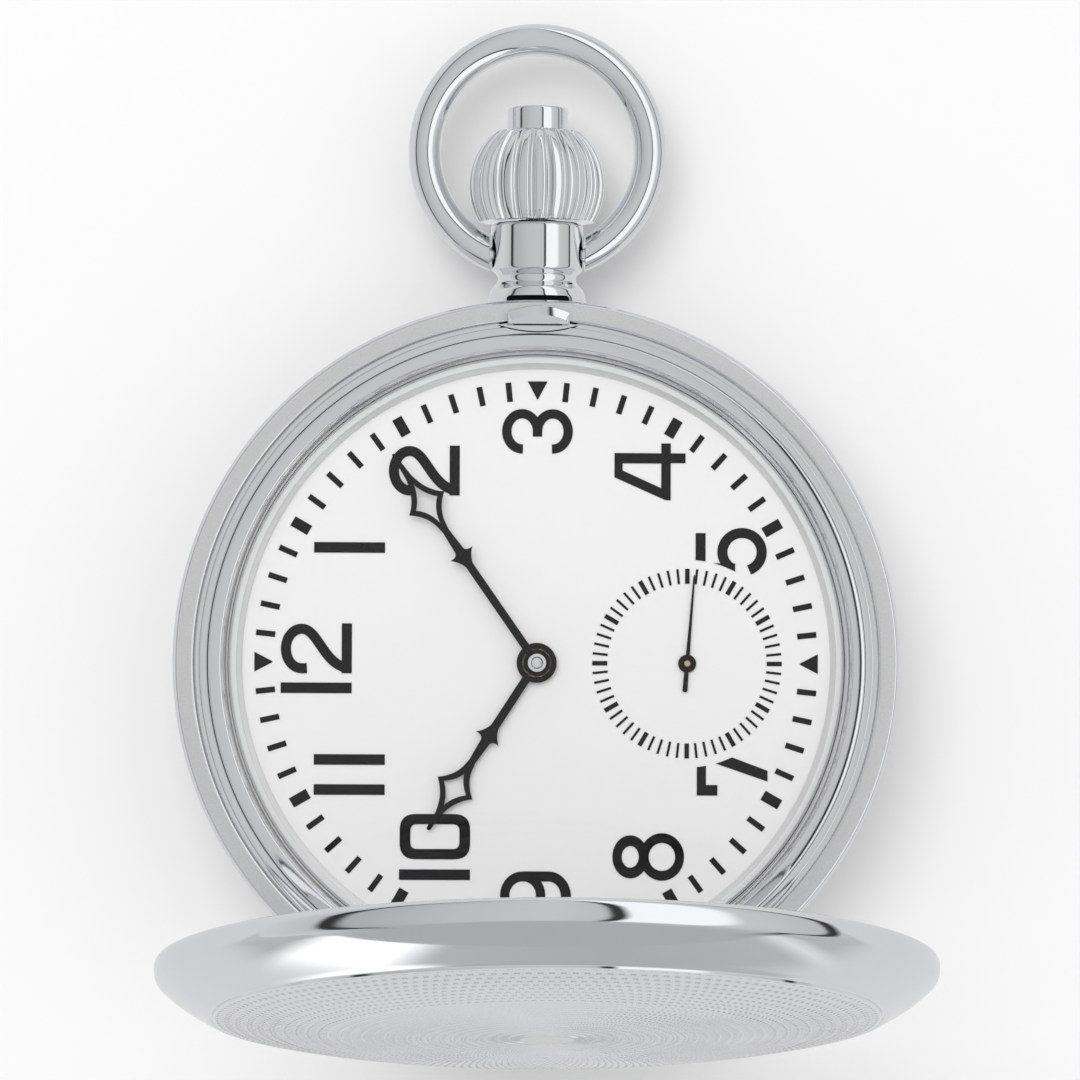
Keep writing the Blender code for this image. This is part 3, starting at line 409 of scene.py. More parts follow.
def stored(bm, name="shape"):
    """The shape as a mesh with its faces turned outwards."""
    bmesh.ops.recalc_face_normals(bm, faces=bm.faces)
    mesh = bpy.data.meshes.new(name)
    bm.to_mesh(mesh)
    bm.free()
    return mesh


def merged(*shapes):
    """Several separate shapes in one."""
    whole = bmesh.new()
    for bm in shapes:
        mesh = stored(bm)
        whole.from_mesh(mesh)
        bpy.data.meshes.remove(mesh)
    return whole


def carved(bm, cuts=(), joins=()):
    """The shape after these others are cut from it or joined to it."""
    base = bpy.data.objects.new("carved", stored(bm))
    bpy.context.scene.collection.objects.link(base)
    tools = []
    for operation, shapes in (("UNION", joins), ("DIFFERENCE", cuts)):
        for shape in shapes:
            tool = bpy.data.objects.new("tool", stored(shape))
            bpy.context.scene.collection.objects.link(tool)
            change = base.modifiers.new(operation, "BOOLEAN")
            change.operation, change.solver, change.object = operation, "EXACT", tool
            tools.append(tool)
    mesh = bpy.data.meshes.new_from_object(base.evaluated_get(bpy.context.evaluated_depsgraph_get()))
    out = bmesh.new()
    out.from_mesh(mesh)
    bmesh.ops.remove_doubles(out, verts=out.verts, dist=1e-5)
    for obj in [base, *tools]:
        old = obj.data
        bpy.data.objects.remove(obj)
        bpy.data.meshes.remove(old)
    bpy.data.meshes.remove(mesh)
    return out


def opened(bm):
    """Swings a shape of the closed lid open about the hinge pin."""
    pin = Matrix.Translation(HINGE_PIN)
    bm.transform(pin @ Matrix.Rotation(LID_OPEN, 4, "X") @ pin.inverted())
    return bm


def piece(name, bm, body, finish, replaces=(), bevel=0.0, paint=None, extra=(), sharp=35):
    """A finished piece of the visual model.

    The paint rule gives the number of a face's material from the face's centre and normal: 0 is the finish,
    and the extra materials follow it.
    """
    mesh = stored(bm, name)
    for made in (finish, *extra):
        mesh.materials.append(made)
    if paint:
        for face in mesh.polygons:
            face.material_index = paint(face.center, face.normal)
    mesh.transform(Matrix.Scale(MM, 4))
    mesh.shade_smooth()
    mesh.set_sharp_from_angle(angle=math.radians(sharp))
    obj = bpy.data.objects.new(name, mesh)
    bpy.context.scene.collection.objects.link(obj)
    if bevel:
        edge = obj.modifiers.new("edge", "BEVEL")
        edge.width, edge.segments, edge.limit_method = bevel * MM, 2, "ANGLE"
        edge.angle_limit, edge.harden_normals = SHARP_EDGE, False
    weighted = obj.modifiers.new("shading", "WEIGHTED_NORMAL")
    weighted.keep_sharp, weighted.weight = True, 60
    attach(obj, body)
    if replaces:
        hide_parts(*replaces)
    return obj


# Case.


def make_case():
    outline = rounded(
        [
            (CASE_BORE, BAND_BOTTOM), (CASE_RADIUS, BAND_BOTTOM), (CASE_RADIUS, SHOULDER_Z),
            (SEAT_OUTER, SEAT_Z), (SEAT_INNER, SEAT_Z), (GROOVE_OUTER, 7.9), (GROOVE_OUTER, GROOVE_FLOOR),
            (GROOVE_INNER, GROOVE_FLOOR), (GROOVE_INNER, NECK_TOP), (NECK_RADIUS, NECK_TOP),
            (NECK_RADIUS, CHANNEL_ROOF), (CHANNEL_RADIUS, CHANNEL_ROOF), (CHANNEL_RADIUS, CHANNEL_FLOOR),
            (CASE_BORE, CHANNEL_FLOOR),
        ],
        EDGE_ROUNDING,
    )
    left, right = (-HOLLOW_HALF, HOLLOW_Y), (HOLLOW_HALF, HOLLOW_Y)
    arc = [*bezier(left, (0, HOLLOW_Y - HOLLOW_DIP), right, 24), right]
    hollow = [(-HOLLOW_HALF, HOLLOW_Y + 0.02), *arc, (HOLLOW_HALF, HOLLOW_Y + 0.02)]
    step = flat([hollow], CHANNEL_ROOF + 0.05, HOLLOW_FLOOR)
    cuts = (
        block((-5.6, -26, 6.7), (5.6, -22.35, ABOVE)),  # The hinge's recess.
        block((-1.6, 22.37, 6.0), (1.6, 23.36, ABOVE)),  # The slot of the catch's neck.
        block((-2.2, 22.37, 7.6), (2.2, 22.5, ABOVE)),  # The gap along the catch's nose.
        rod(1.25, 20, 26, Y_AXIS, STEM_POINT),
        flat([hollow], HOLLOW_FLOOR, ABOVE),
        flat([ribbon(arc, SEAM_WIDTH)], SEAM_FLOOR, ABOVE),
    )
    middle = carved(turned(outline, CASE_FACETS), joins=(step,), cuts=cuts)

    def seat(centre, normal):
        """1 for the matt ring that the lid closes on, 2 for painted shade: black on the walls of the catch's
        hollow and its seam, where shade falls.
        """
        radius = math.hypot(centre.x, centre.y)
        in_shaded_hollow = abs(centre.x) < 2.7 and NECK_RADIUS + 0.02 < radius and 21.8 < centre.y < 22.4
        on_groove = abs(radius - GROOVE_INNER) < 0.03
        if in_shaded_hollow and 7.47 < centre.z < 8.05 and not on_groove:
            return 0 if normal.z > 0.5 and centre.z > 7.8 else 2
        return int(SEAT_INNER - 0.03 < radius < 23.8 and centre.z > SEAT_Z - 0.03 and normal.z > 0.9)

    # The matt seat ring is a real finish; the black enamel on the faces of the catch's hollow and seam is
    # painted shade.
    piece(
        "case_band", middle, "case", CHROME, ("case_middle",), paint=seat,
        extra=(BLASTED, ENAMEL_AND_SHADE),
    )

    back = [
        (0, 0), (14.5, 0), (18.2, 0.25), (21.2, 0.8), (CASE_RADIUS, 2.45), (CASE_RADIUS, BACK_DEPTH),
        (21.35, BACK_DEPTH), (21.35, 3.6), (20.75, 3.6), (20.75, 1.5), (14.0, 0.6), (0, 0.6),
    ]
    cover = turned(rounded(rounded(back, 1.6, 6), 0.1, 3), CASE_FACETS)
    piece("case_back", cover, "case", CHROME, ("back_cover",))


def stadium(half, low, high, steps=10):
    """A long hole with round corners, across X."""
    radius = (high - low) / 2
    middle = (high + low) / 2
    points = []
    for side in (1, -1):
        for k in range(steps + 1):
            angle = side * math.pi / 2 - math.pi * k / steps
            x = side * (half - radius) + radius * math.cos(angle)
            points.append((x, middle + radius * math.sin(angle)))
    return points


def make_bezel_and_glass():
    outline = [
        (20.45, 7.1), (21.75, 7.1), (21.75, 8.45), (21.68, 8.55), (20.98, 8.6), (20.88, 8.54), (20.82, 8.3),
        (20.76, 8.22), (20.56, 8.0), (20.45, 7.92),
    ]
    bezel = turned(rounded(outline, 0.05, 2), CASE_FACETS)
    piece("glass_bezel", bezel, "case", CHROME, ("bezel",))

    def domed(radii, top, fall, reach):
        """Points of a shallow dome that falls this far over its reach."""
        return [(r, top - fall * (r / reach) ** 2) for r in radii]

    upper = [(CRYSTAL_RADIUS, CRYSTAL_BOTTOM), (CRYSTAL_RADIUS, 8.17), (CRYSTAL_RADIUS - 0.1, 8.26)]
    upper += domed((19.5, 18, 16, 13, 10, 7, 4, 1.5, 0), CRYSTAL_TOP, CRYSTAL_TOP - 8.25, CRYSTAL_RADIUS)
    lower = domed((0, 2, 6, 10, 14, 17), 8.35, 0.57, 19.6) + [(19.6, CRYSTAL_BOTTOM)]
    piece("watch_crystal", turned(upper + lower, 192), "case", GLASS, ("crystal",))

    gasket = tube(19.85, 20.3, 7.5, 7.74, facets=192, edge=0.11)
    piece("glass_seal", gasket, "case", NYLON, ("crystal_gasket",))
    flange = [(19.5, 7.05), (20.43, 7.05), (20.43, 7.45), (20.05, 7.45), (19.92, 7.36), (19.55, 7.16)]
    flange = turned(rounded(flange, 0.04, 2), CASE_FACETS)
    piece("inner_ring", flange, "case", SATIN, ("dial_flange",))


# Lid.


def dome_height(radius):
    """Height of the smooth dome above the plane of the lid's rim."""
    rise = LID_DOME_HEIGHT - LID_STEP_HEIGHT
    return LID_STEP_HEIGHT + rise * (1 - (radius / LID_STEP_RADIUS) ** DOME_EXPONENT)


def lid_shape(radius, height, angle):
    """Engine turning on the dome, and the notch at the hinge."""
    if GRAIN_INNER < radius < GRAIN_OUTER and abs(height - dome_height(radius)) < 0.01:
        row = (radius - GRAIN_INNER) / GRAIN_ROW
        turn = angle * GRAIN_COUNT / (2 * math.pi) + 0.5 * (int(row + 1e-6) % 2)
        pillow = math.sqrt(abs(math.sin(math.pi * row)) * abs(math.sin(math.pi * turn)))
        height -= GRAIN_DEPTH * (1 - pillow)
    x, y = radius * math.cos(angle), radius * math.sin(angle)
    if height < NOTCH_HEIGHT and abs(x) < NOTCH_HALF and y < 0:
        return max(radius, NOTCH_RADIUS), NOTCH_HEIGHT
    return radius, height


def lid_paint(centre, normal):
    """1 on the engine turning, 2 in its cuts, whose darker colour is painted shade, 3 on the small disc in
    its middle, 0 elsewhere on the lid.
    """
    back = Matrix.Rotation(-LID_OPEN, 3, "X")
    closed = back @ (centre - HINGE_PIN) + HINGE_PIN
    radius = math.hypot(closed.x, closed.y)
    if radius > GRAIN_OUTER + 0.02 or (back @ normal).z < 0.3:
        return 0
    if radius < GRAIN_INNER - 0.02:
        return 3
    row = (radius - GRAIN_INNER) / GRAIN_ROW + 0.25
    turn = math.atan2(closed.y, closed.x) * GRAIN_COUNT / (2 * math.pi) + 0.5 * (int(row) % 2)
    width = 0.5 if radius > DEEP_CUT_INNER else 0.25
    return 2 if radius > CUT_INNER and row % 1 < width and abs(turn % 1 - 0.5) < 0.3 else 1


def make_lid():
    fine, plain = LID_FACETS, LID_INNER_FACETS
    rim = bezier((23.7, 0), (LID_RADIUS, 0), (LID_RADIUS, 0.62), 8)
    rim += bezier((LID_RADIUS, 0.62), (LID_RADIUS, 1.25), (24.22, 1.5), 6)
    rim += bezier((24.22, 1.5), (23.0, 2.72), (LID_STEP_RADIUS + 0.16, 3.5), 10)
    rim += bezier((LID_STEP_RADIUS + 0.16, 3.5), (21.24, 3.64), (21.06, 3.62), 4)
    rim += [(21.06, 3.62), (21.0, 3.58), (20.95, 3.5)]
    outer = [(r, h, plain) for r, h in rim]
    outer += [(20.84, 3.52, fine), (20.78, dome_height(20.78), fine)]
    rows = GRAIN_ROWS * ROW_SAMPLES
    for k in range(rows + 1):
        radius = GRAIN_INNER + GRAIN_ROW * (rows - k) / ROW_SAMPLES
        outer.append((radius, dome_height(radius), fine))
    outer += [(1.6, LID_DOME_HEIGHT - 0.01, fine), (1.4, LID_DOME_HEIGHT, plain), (0, LID_DOME_HEIGHT)]
    inner = [(0, LID_DOME_HEIGHT - LID_WALL, plain)]
    inner += [(r, dome_height(r) - LID_WALL, plain) for r in (2, 5, 8, 10.6, 13, 15, 17, 18.6, 19.8)]
    lip = [(20.9, 3.0), (23.8, 0.98), (23.8, 0.35), (23.25, 0.35), (23.2, 0.3), (23.2, 0.05), (23.25, 0)]
    inner += [(r, h, plain) for r, h in lip]
    shell = turned(outer + inner, plain, point=(0, 0, LID_PLANE_Z), shape=lid_shape)
    bmesh.ops.remove_doubles(shell, verts=shell.verts, dist=1e-4)
    bmesh.ops.dissolve_degenerate(shell, edges=shell.edges, dist=1e-4)

    piece(
        "lid_cover", opened(shell), "lid", CHROME, ("lid_shell",), paint=lid_paint,
        extra=(ENGINE_TURNED, CUT_SHADE_METAL, BLASTED), sharp=50,
    )
    knuckle = rod(KNUCKLE_RADIUS, -LID_KNUCKLE_HALF, LID_KNUCKLE_HALF, X_AXIS, HINGE_PIN)
    leaf = block((-1.6, -23.65, 8.4), (1.6, -22.9, 9.1))
    bore = rod(KNUCKLE_BORE, -3, 3, X_AXIS, HINGE_PIN, edge=0)
    knuckle = carved(knuckle, cuts=(bore,), joins=(leaf,))
    piece("lid_hinge_knuckle", opened(knuckle), "lid", CHROME, ("lid_knuckle",), bevel=0.04)


def make_hinge():
    near, far = CASE_KNUCKLE_SPAN
    for side, node in ((-1, "hinge_knuckle_left"), (1, "hinge_knuckle_right")):
        low, high = sorted((side * near, side * far))
        barrel = rod(KNUCKLE_RADIUS, low, high, X_AXIS, HINGE_PIN)
        foot = block((low + 0.05, -23.45, 6.73), (high - 0.05, -22.6, HINGE_PIN.z))
        bore = rod(KNUCKLE_BORE, -7, 7, X_AXIS, HINGE_PIN, edge=0)
        knuckle = carved(barrel, cuts=(bore,), joins=(foot,))
        piece("case_" + node, knuckle, "case", CHROME, (node,), bevel=0.04)
    end = [(0.45, 5.0), (0.4, 5.14), (0.24, 5.26), (0, 5.3)]
    pin = turned([(r, -x) for r, x in reversed(end)] + end, 48, X_AXIS, HINGE_PIN)
    piece("hinge_rod", pin, "case", CHROME, ("hinge_pin",))


def make_catch():
    def nose(half, inner, side, outer, z):
        """A D-shaped loop: straight inside, and curved on the side of the case's edge."""
        points = [(-half, inner, z), (half, inner, z), (half, side, z)]
        for k in range(1, 12):
            share = k / 12
            bulge = 1 - (2 * share - 1) ** 2
            points.append((half * (1 - 2 * share), side + (outer - side) * bulge, z))
        return points + [(-half, side, z)]

    head = loft([
        nose(2.03, 22.42, 23.16, 23.62, 8.5), nose(2.05, 22.42, 23.18, 23.65, 8.6),
        nose(2.05, 22.42, 23.16, 23.62, 8.66), nose(1.8, 22.42, 22.66, 23.02, 8.98),
        nose(1.77, 22.44, 22.62, 22.98, 9.0),
    ])
    neck = block((-1.4, 22.94, 6.6), (1.4, 23.12, 8.6))
    foot = block((-2.05, 22.45, 5.7), (2.05, 23.0, 6.8))
    catch = carved(head, joins=(neck, foot))
    piece("catch_nose", catch, "lid_catch", CHROME, ("lid_catch",), bevel=0.03)


# Pendant, bow, crown and button.


def make_pendant():
    outline = [
        (1.2, PENDANT_BOTTOM_Y), (3.3, PENDANT_BOTTOM_Y), (3.27, 24.4), (3.08, 24.95), (2.62, 25.45),
        (2.6, 25.85), (3.08, 26.3), (3.08, 29.22), (2.92, PENDANT_TOP_Y), (1.2, PENDANT_TOP_Y),
    ]
    body = turned(rounded(outline, 0.16, 4), 144, Y_AXIS, STEM_POINT)
    case = rod(CASE_RADIUS + 0.05, -1, 10, facets=CASE_FACETS, edge=0)
    pins = rod(0.6, -5, 5, X_AXIS, BOW_PIVOT, edge=0)
    slot = flat([stadium(RECESS_HALF, RECESS_LOW_Y, RECESS_HIGH_Y)], RECESS_FLOOR, 9.0)
    body = carved(body, cuts=(case, pins, slot))

    def recess(centre, normal):
        """1 for painted shade: black on the faces in the recess at the pendant's foot, where shade falls."""
        inside = math.hypot(centre.x, centre.z - STEM_Z) < 3.2 and centre.z > RECESS_FLOOR - 0.1
        return int(inside and centre.y < RECESS_HIGH_Y + 0.02 and abs(centre.x) < RECESS_HALF + 0.05)

    # Black enamel on the faces of the recess at the pendant's foot is painted shade.
    piece(
        "bow_pendant", body, "case", CHROME, ("pendant",), sharp=40, paint=recess,
        extra=(ENAMEL_AND_SHADE,),
    )


def make_bow():
    steps, sides = 192, 40
    wire = [2 * math.pi * k / sides for k in range(sides)]
    bm = turned(
        [(BOW_RADIUS + BOW_WIRE * math.cos(a), BOW_WIRE * math.sin(a)) for a in wire],
        steps, point=(0, BOW_CENTRE_Y, STEM_Z),
    )
    gap = block((-BOW_GAP, 22, 0), (BOW_GAP, 31, 9))
    pins = [
        rod(0.55, -4.1, -2.0, X_AXIS, BOW_PIVOT),
        rod(0.55, 2.0, 4.1, X_AXIS, BOW_PIVOT),
    ]
    ring = carved(carved(bm, cuts=(gap,)), joins=pins)
    piece("bow_ring", ring, "bow", CHROME, ("bow",), bevel=0.06, sharp=40)


def make_crown():
    def fluted(radius, y, angle):
        """Ribs of the outer surface, with a round groove between each two."""
        on_ball = abs(math.hypot(radius, y - CROWN_CENTRE_Y) - CROWN_RADIUS) < 0.02
        share = (angle * RIB_COUNT / (2 * math.pi) + 0.5 - RIB_SHARE / 2) % 1
        if not on_ball:
            return radius, y
        fade = min(1.0, (radius - 2.1) / 1.3)
        if share < RIB_SHARE:
            crest = abs(2 * share / RIB_SHARE - 1)
            return radius - RIB_CROWN * crest**4 * fade, y
        across = (share - RIB_SHARE) / (1 - RIB_SHARE)
        groove = (RIB_DEPTH - RIB_CROWN) * math.sin(math.pi * across) ** 0.7
        return radius - (RIB_CROWN + groove) * fade, y

    ball = []
    steps = 40
    for k in range(steps + 1):
        y = CROWN_BOTTOM_Y + (CROWN_TOP_Y - CROWN_BOTTOM_Y) * k / steps
        ball.append((math.sqrt(CROWN_RADIUS**2 - (y - CROWN_CENTRE_Y) ** 2), y))
    inside = [
        (2.55, CROWN_TOP_Y + 0.02), (2.1, CROWN_TOP_Y), (2.1, CROWN_SINK_Y), (0.45, CROWN_SINK_Y),
        (0.45, 33.05), (0.8, 33.05), (0.8, CROWN_BOTTOM_Y), (3.4, CROWN_BOTTOM_Y),
    ]
    crown = turned(ball + inside, RIB_COUNT * RIB_SAMPLES, Y_AXIS, STEM_POINT, fluted)
    piece("fluted_crown", crown, "crown", CHROME, ("crown",), sharp=50)

    radius, top = BUTTON_RADIUS, BUTTON_TOP_Y
    outline = [(0, 25.5), (0.33, 25.5), (0.33, 34.3), (radius, 34.3), (radius, top - 0.32)]
    outline += bezier((radius, top - 0.28), (radius, top - 0.12), (radius - 0.2, top - 0.08), 5)
    outline += [(radius - 0.2, top - 0.08), (1.3, top - 0.03), (0.7, top - 0.007), (0, top)]
    button = turned(outline, 96, Y_AXIS, STEM_POINT)
    piece("push_button", button, "release_button", CHROME, ("release_button",), sharp=40)


# Dial, printing and hands.


def bar(low, high):
    """A rectangle's outline."""
    return [(low[0], low[1]), (high[0], low[1]), (high[0], high[1]), (low[0], high[1])]


def ellipse(centre, semi, start=0.0, end=360.0, steps=40):
    """Points on an ellipse between two angles in degrees."""
    angles = [math.radians(start + (end - start) * k / steps) for k in range(steps + 1)]
    points = [(centre[0] + semi[0] * math.cos(a), centre[1] + semi[1] * math.sin(a)) for a in angles]
    return points[:-1] if abs(end - start) == 360 else points


def ribbon(points, width):
    """The outline of a stroke of one width along the points."""
    left, right = [], []
    for k, point in enumerate(points):
        before, after = Vector(points[max(k - 1, 0)]), Vector(points[min(k + 1, len(points) - 1)])
        across = (after - before).normalized().orthogonal() * width / 2
        left.append(tuple(Vector(point) + across))
        right.append(tuple(Vector(point) - across))
    return left + right[::-1]


def glyph(figure):
    """A figure's width and its parts, each a list of outlines: the outer one and its holes."""
    h, s = NUMERAL_HEIGHT, STROKE
    if figure == "0":
        outer = rounded(bar((0, 0), (3.0, 4.67)), 1.06, 8, turning=False)
        return 3.0, [[outer, rounded(bar((0.68, 0.71), (2.32, 3.96)), 0.45, 6, turning=False)]]
    if figure == "1":
        return 0.7, [[bar((0, 0), (0.7, h))]]
    if figure == "2":
        line = [(0.35, h - 1.73), (0.34, h - 1.5)] + ellipse((1.65, h - 1.38), (1.31, 1.05), 178, 0, 24)
        line += cubic((2.96, h - 1.38), (2.97, 2.2), (0.42, 1.85), (0.36, 0.1), 18)
        return 3.33, [[ribbon(line, s)], [bar((0.02, 0), (3.33, s))]]
    if figure == "3":
        top = ellipse((1.5, 3.37), (1.17, 1.02), 183, -92, 30) + [(1.15, 2.35)]
        low = ellipse((1.5, 1.33), (1.17, 1.02), 177, 452, 30) + [(1.15, 2.35)]
        return 3.05, [[ribbon(top, THIN_STROKE)], [ribbon(low, THIN_STROKE)]]
    if figure == "4":
        outer = [
            (0, 0.98), (2.47, 0.98), (2.47, 0), (3.125, 0), (3.125, 0.98), (3.78, 0.98), (3.78, 1.61),
            (3.125, 1.61), (3.125, 4.72), (1.51, 4.72), (0, 1.31),
        ]
        return 3.78, [[outer, [(2.44, 4.18), (2.44, 1.61), (0.81, 1.61), (1.97, 4.18)]]]
    if figure == "5":
        bowl = ellipse((1.55, 1.645), (1.27, 1.31), 201, 505, 36)
        return 3.15, [[bar((0.15, 4.075), (2.8, 4.74))], [bar((0.15, 2.1), (0.8, 4.4))], [ribbon(bowl, s)]]
    if figure == "7":
        outer = [
            (0, h - 1.37), (0.7, h - 1.37), (0.7, h - 0.605), (2.35, h - 0.605), (0.94, 0), (1.66, 0),
            (3.3, h - 0.3), (3.3, h), (0, h),
        ]
        return 3.3, [[outer]]
    if figure == "8":
        low = [ellipse((1.58, 1.47), (1.58, 1.47)), ellipse((1.58, 1.47), (0.925, 0.88))]
        top = [ellipse((1.58, 3.57), (1.43, 1.19)), ellipse((1.58, 3.57), (0.715, 0.57))]
        return 3.16, [low, top]
    loop = [ellipse((1.58, 3.2), (1.58, 1.5)), ellipse((1.58, 3.2), (0.925, 0.88))]
    tail = [(2.83, 3.2)] + ellipse((1.5, 1.5), (1.33, 1.17), 0, -165, 26)
    return 3.16, [loop, [ribbon(tail, s)]]


def cubic(a, b, c, d, steps):
    """Points along a cubic curve, without its first one."""
    points = []
    for k in range(1, steps + 1):
        t = k / steps
        u = 1 - t
        weights = (u**3, 3 * u * u * t, 3 * u * t * t, t**3)
        points.append(tuple(sum(w * p[i] for w, p in zip(weights, (a, b, c, d))) for i in (0, 1)))
    return points


def numeral(hour):
    """One hour's figures as a solid on the dial, upright towards 12."""
    angle = math.pi - math.radians(30 * hour)
    radius = NUMERAL_RADIUS.get(hour, USUAL_RADIUS)
    centre = Vector((math.cos(angle), math.sin(angle))) * radius + Vector(NUMERAL_SHIFT.get(hour, (0, 0)))
    figures = str(hour)
    gap = NUMERAL_GAP.get(figures, 0)
    widths = [glyph(f)[0] for f in figures]
    start = -(sum(widths) + gap * (len(figures) - 1)) / 2
    solids = []
    for figure, width in zip(figures, widths):
        for outlines in glyph(figure)[1]:
            moved = [
                [(centre.x - (v - NUMERAL_HEIGHT / 2), centre.y + start + u) for u, v in outline]
                for outline in outlines
            ]
            solids.append(flat(moved, PRINT_BOTTOM, PRINT_TOP))
        start += width + gap
    cuts = []
    if hour in (5, 7):
        cuts = [rod(SECONDS_CLEAR, 6, 8, point=(SECONDS_X, 0, 0), facets=128, edge=0)]
    return carved(solids[0], joins=solids[1:], cuts=cuts)


def tick(angle, inner, outer, half, centre_x=0.0, outer_half=None):
    """A radial mark as an outline."""
    out = Vector((math.cos(angle), math.sin(angle)))
    side = Vector((-out.y, out.x))
    wide = half if outer_half is None else outer_half
    shift = Vector((centre_x, 0))
    corners = (
        out * inner - side * half, out * outer - side * wide, out * outer + side * wide,
        out * inner + side * half,
    )
    return [tuple(shift + c) for c in corners]


def track(marks):
    """Printed marks as one shape of raised, slightly bevelled ink."""
    return merged(*[flat([mark], PRINT_BOTTOM, PRINT_TOP, PRINT_BEVEL) for mark in marks])


def make_dial():
    outline = [(1.05, DIAL_BOTTOM), (DIAL_RADIUS, DIAL_BOTTOM), (DIAL_RADIUS, DIAL_TOP), (1.05, DIAL_TOP)]
    hole = rod(0.35, 6, 8, point=(SECONDS_X, 0, 0), edge=0)
    plate = carved(turned(rounded(outline, 0.04, 2), 192), cuts=(hole,))
    piece("dial_plate", plate, "case", LACQUER, ("dial",))

    marks = []
    for minute in range(60):
        angle = math.radians(6 * minute)
        if minute % 15 == 0:
            marks.append(tick(angle, MARKER_INNER, TRACK_OUTER, 0.03, outer_half=0.66))
        else:
            marks.append(tick(angle, TRACK_INNER, TRACK_OUTER, 0.35 if minute % 5 == 0 else 0.19))
    piece("dial_minute_track", track(marks), "case", ENAMEL_AND_SHADE)

    marks = []
    for second in range(60):
        half = 0.15 if second % 5 == 0 else 0.08
        marks.append(tick(math.radians(6 * second), SECONDS_INNER, SECONDS_OUTER, half, SECONDS_X))
    piece("dial_seconds_track", track(marks), "case", ENAMEL_AND_SHADE)

    hours = [numeral(hour) for hour in (12, 1, 2, 3, 4, 5, 7, 8, 9, 10, 11)]
    piece("dial_numerals", merged(*hours), "case", ENAMEL_AND_SHADE, sharp=30)


def lozenge_hand(length, hub, shaft, barb, lozenge, opening, tip):
    """A hand along +X as its outline and the lozenge's opening."""
    start, widest, end, half = lozenge
    hole_start, hole_end, hole_half = opening
    upper = [(math.sqrt(hub**2 - shaft**2), shaft), (barb - 0.95, shaft)]
    upper += bezier((barb - 0.95, shaft), (barb - 0.45, shaft + 0.12), (barb, 0.89), 6)
    upper += bezier((barb, 0.89), (barb - 0.08, shaft + 0.2), (barb + 0.2, shaft + 0.05), 5)
    upper += [(barb + 0.2, shaft + 0.05), (start - 0.4, shaft - 0.04)]
    upper += bezier((start, shaft + 0.02), (widest - 0.75, 0.42), (widest, half), 8)
    upper += bezier((widest, half), (widest + 0.7, 0.46), (end, 0.22), 8)
    upper += [(end, 0.22), (length - 0.1, tip), (length, tip * 0.5)]
    lower = [(x, -y) for x, y in reversed(upper)]
    start_angle = math.degrees(math.asin(shaft / hub))
    around = ellipse((0, 0), (hub, hub), 360 - start_angle, start_angle, 40)[1:-1]
    hole = bezier((hole_start, 0), (widest - 0.55, 0.16), (widest, hole_half), 7)
    hole += bezier((widest, hole_half), (widest + 0.6, 0.2), (hole_end, 0), 7)
    hole += [(hole_end, 0)] + [(x, -y) for x, y in reversed(hole[1:])]
    return [upper + lower + around, hole]


def make_hands():
    plan = (
        ("hour_pointer", "hour_wheel", "hour_hand", HOUR_ANGLE, 7.3, 7.46, 0.97,
         lozenge_hand(13.2, 1.33, 0.28, 6.0, (8.2, 9.9, 11.9, 1.38), (8.76, 11.24, 0.87), 0.14)),
        ("minute_pointer", "cannon_pinion", "minute_hand", MINUTE_ANGLE, 7.72, 7.88, 0.62,
         lozenge_hand(16.8, 0.9, 0.27, 8.8, (11.0, 12.83, 15.0, 1.42), (11.27, 14.35, 0.85), 0.11)),
    )
    for name, body, node, angle, bottom, top, bore, outlines in plan:
        hand = flat([*outlines, ellipse((0, 0), (bore, bore), steps=48)], bottom, top, 0.035)
        hand.transform(Matrix.Rotation(angle, 4, "Z"))
        piece(name, hand, body, ENAMEL_AND_SHADE, (node,), sharp=30)
    blade = [(0.58, 0.13), (2.0, 0.1), (5.75, 0.055), (5.9, 0.03)]
    outline = blade + [(x, -y) for x, y in reversed(blade)]
    outline += ellipse((0, 0), (0.6, 0.6), 347, 194, 12)[1:]
    outline += [(-1.8, -0.17), (-1.9, -0.1), (-1.9, 0.1), (-1.8, 0.17)]
    outline += ellipse((0, 0), (0.6, 0.6), 166, 13, 12)[:-1]
    hand = flat([outline, ellipse((0, 0), (0.22, 0.22), steps=32)], 7.12, 7.22, 0.02)
    hand.transform(Matrix.Translation((SECONDS_X, 0, 0)) @ Matrix.Rotation(SECONDS_ANGLE, 4, "Z"))
    piece("seconds_pointer", hand, "fourth_wheel", ENAMEL_AND_SHADE, ("seconds_hand",), sharp=30)
    cap = turned([(0, 7.16), (0.2, 7.16), (0.2, 7.25), (0.14, 7.28), (0, 7.29)], 32, point=(SECONDS_X, 0, 0))
    piece("seconds_arbor_end", cap, "fourth_wheel", STEEL)

    collar = tube(0.4, 0.605, 7.9, 8.08, facets=64, edge=0.04)
    piece("cannon_collar", collar, "cannon_pinion", BRIGHT_CUT)
    end = turned([(0, 7.9), (0.35, 7.9), (0.35, 8.05), (0.3, 8.1), (0.15, 8.12), (0, 8.12)], 48)
    piece("centre_arbor_end", end, "centre_wheel", BRIGHT_CUT)


# Carried-over nodes, stage and camera.


def dress_frame():
    """Gives each CAD node that still shows the finish of its slot."""
    for name, obj in frame["nodes"].items():
        for slot in obj.material_slots:
            finish = FINISHES.get(slot.material.name.split(".")[0]) if slot.material else None
            if finish:
                slot.material = STEEL if name in PLATED else finish
        obj.data.shade_smooth()
        obj.data.set_sharp_from_angle(angle=SHARP_EDGE)


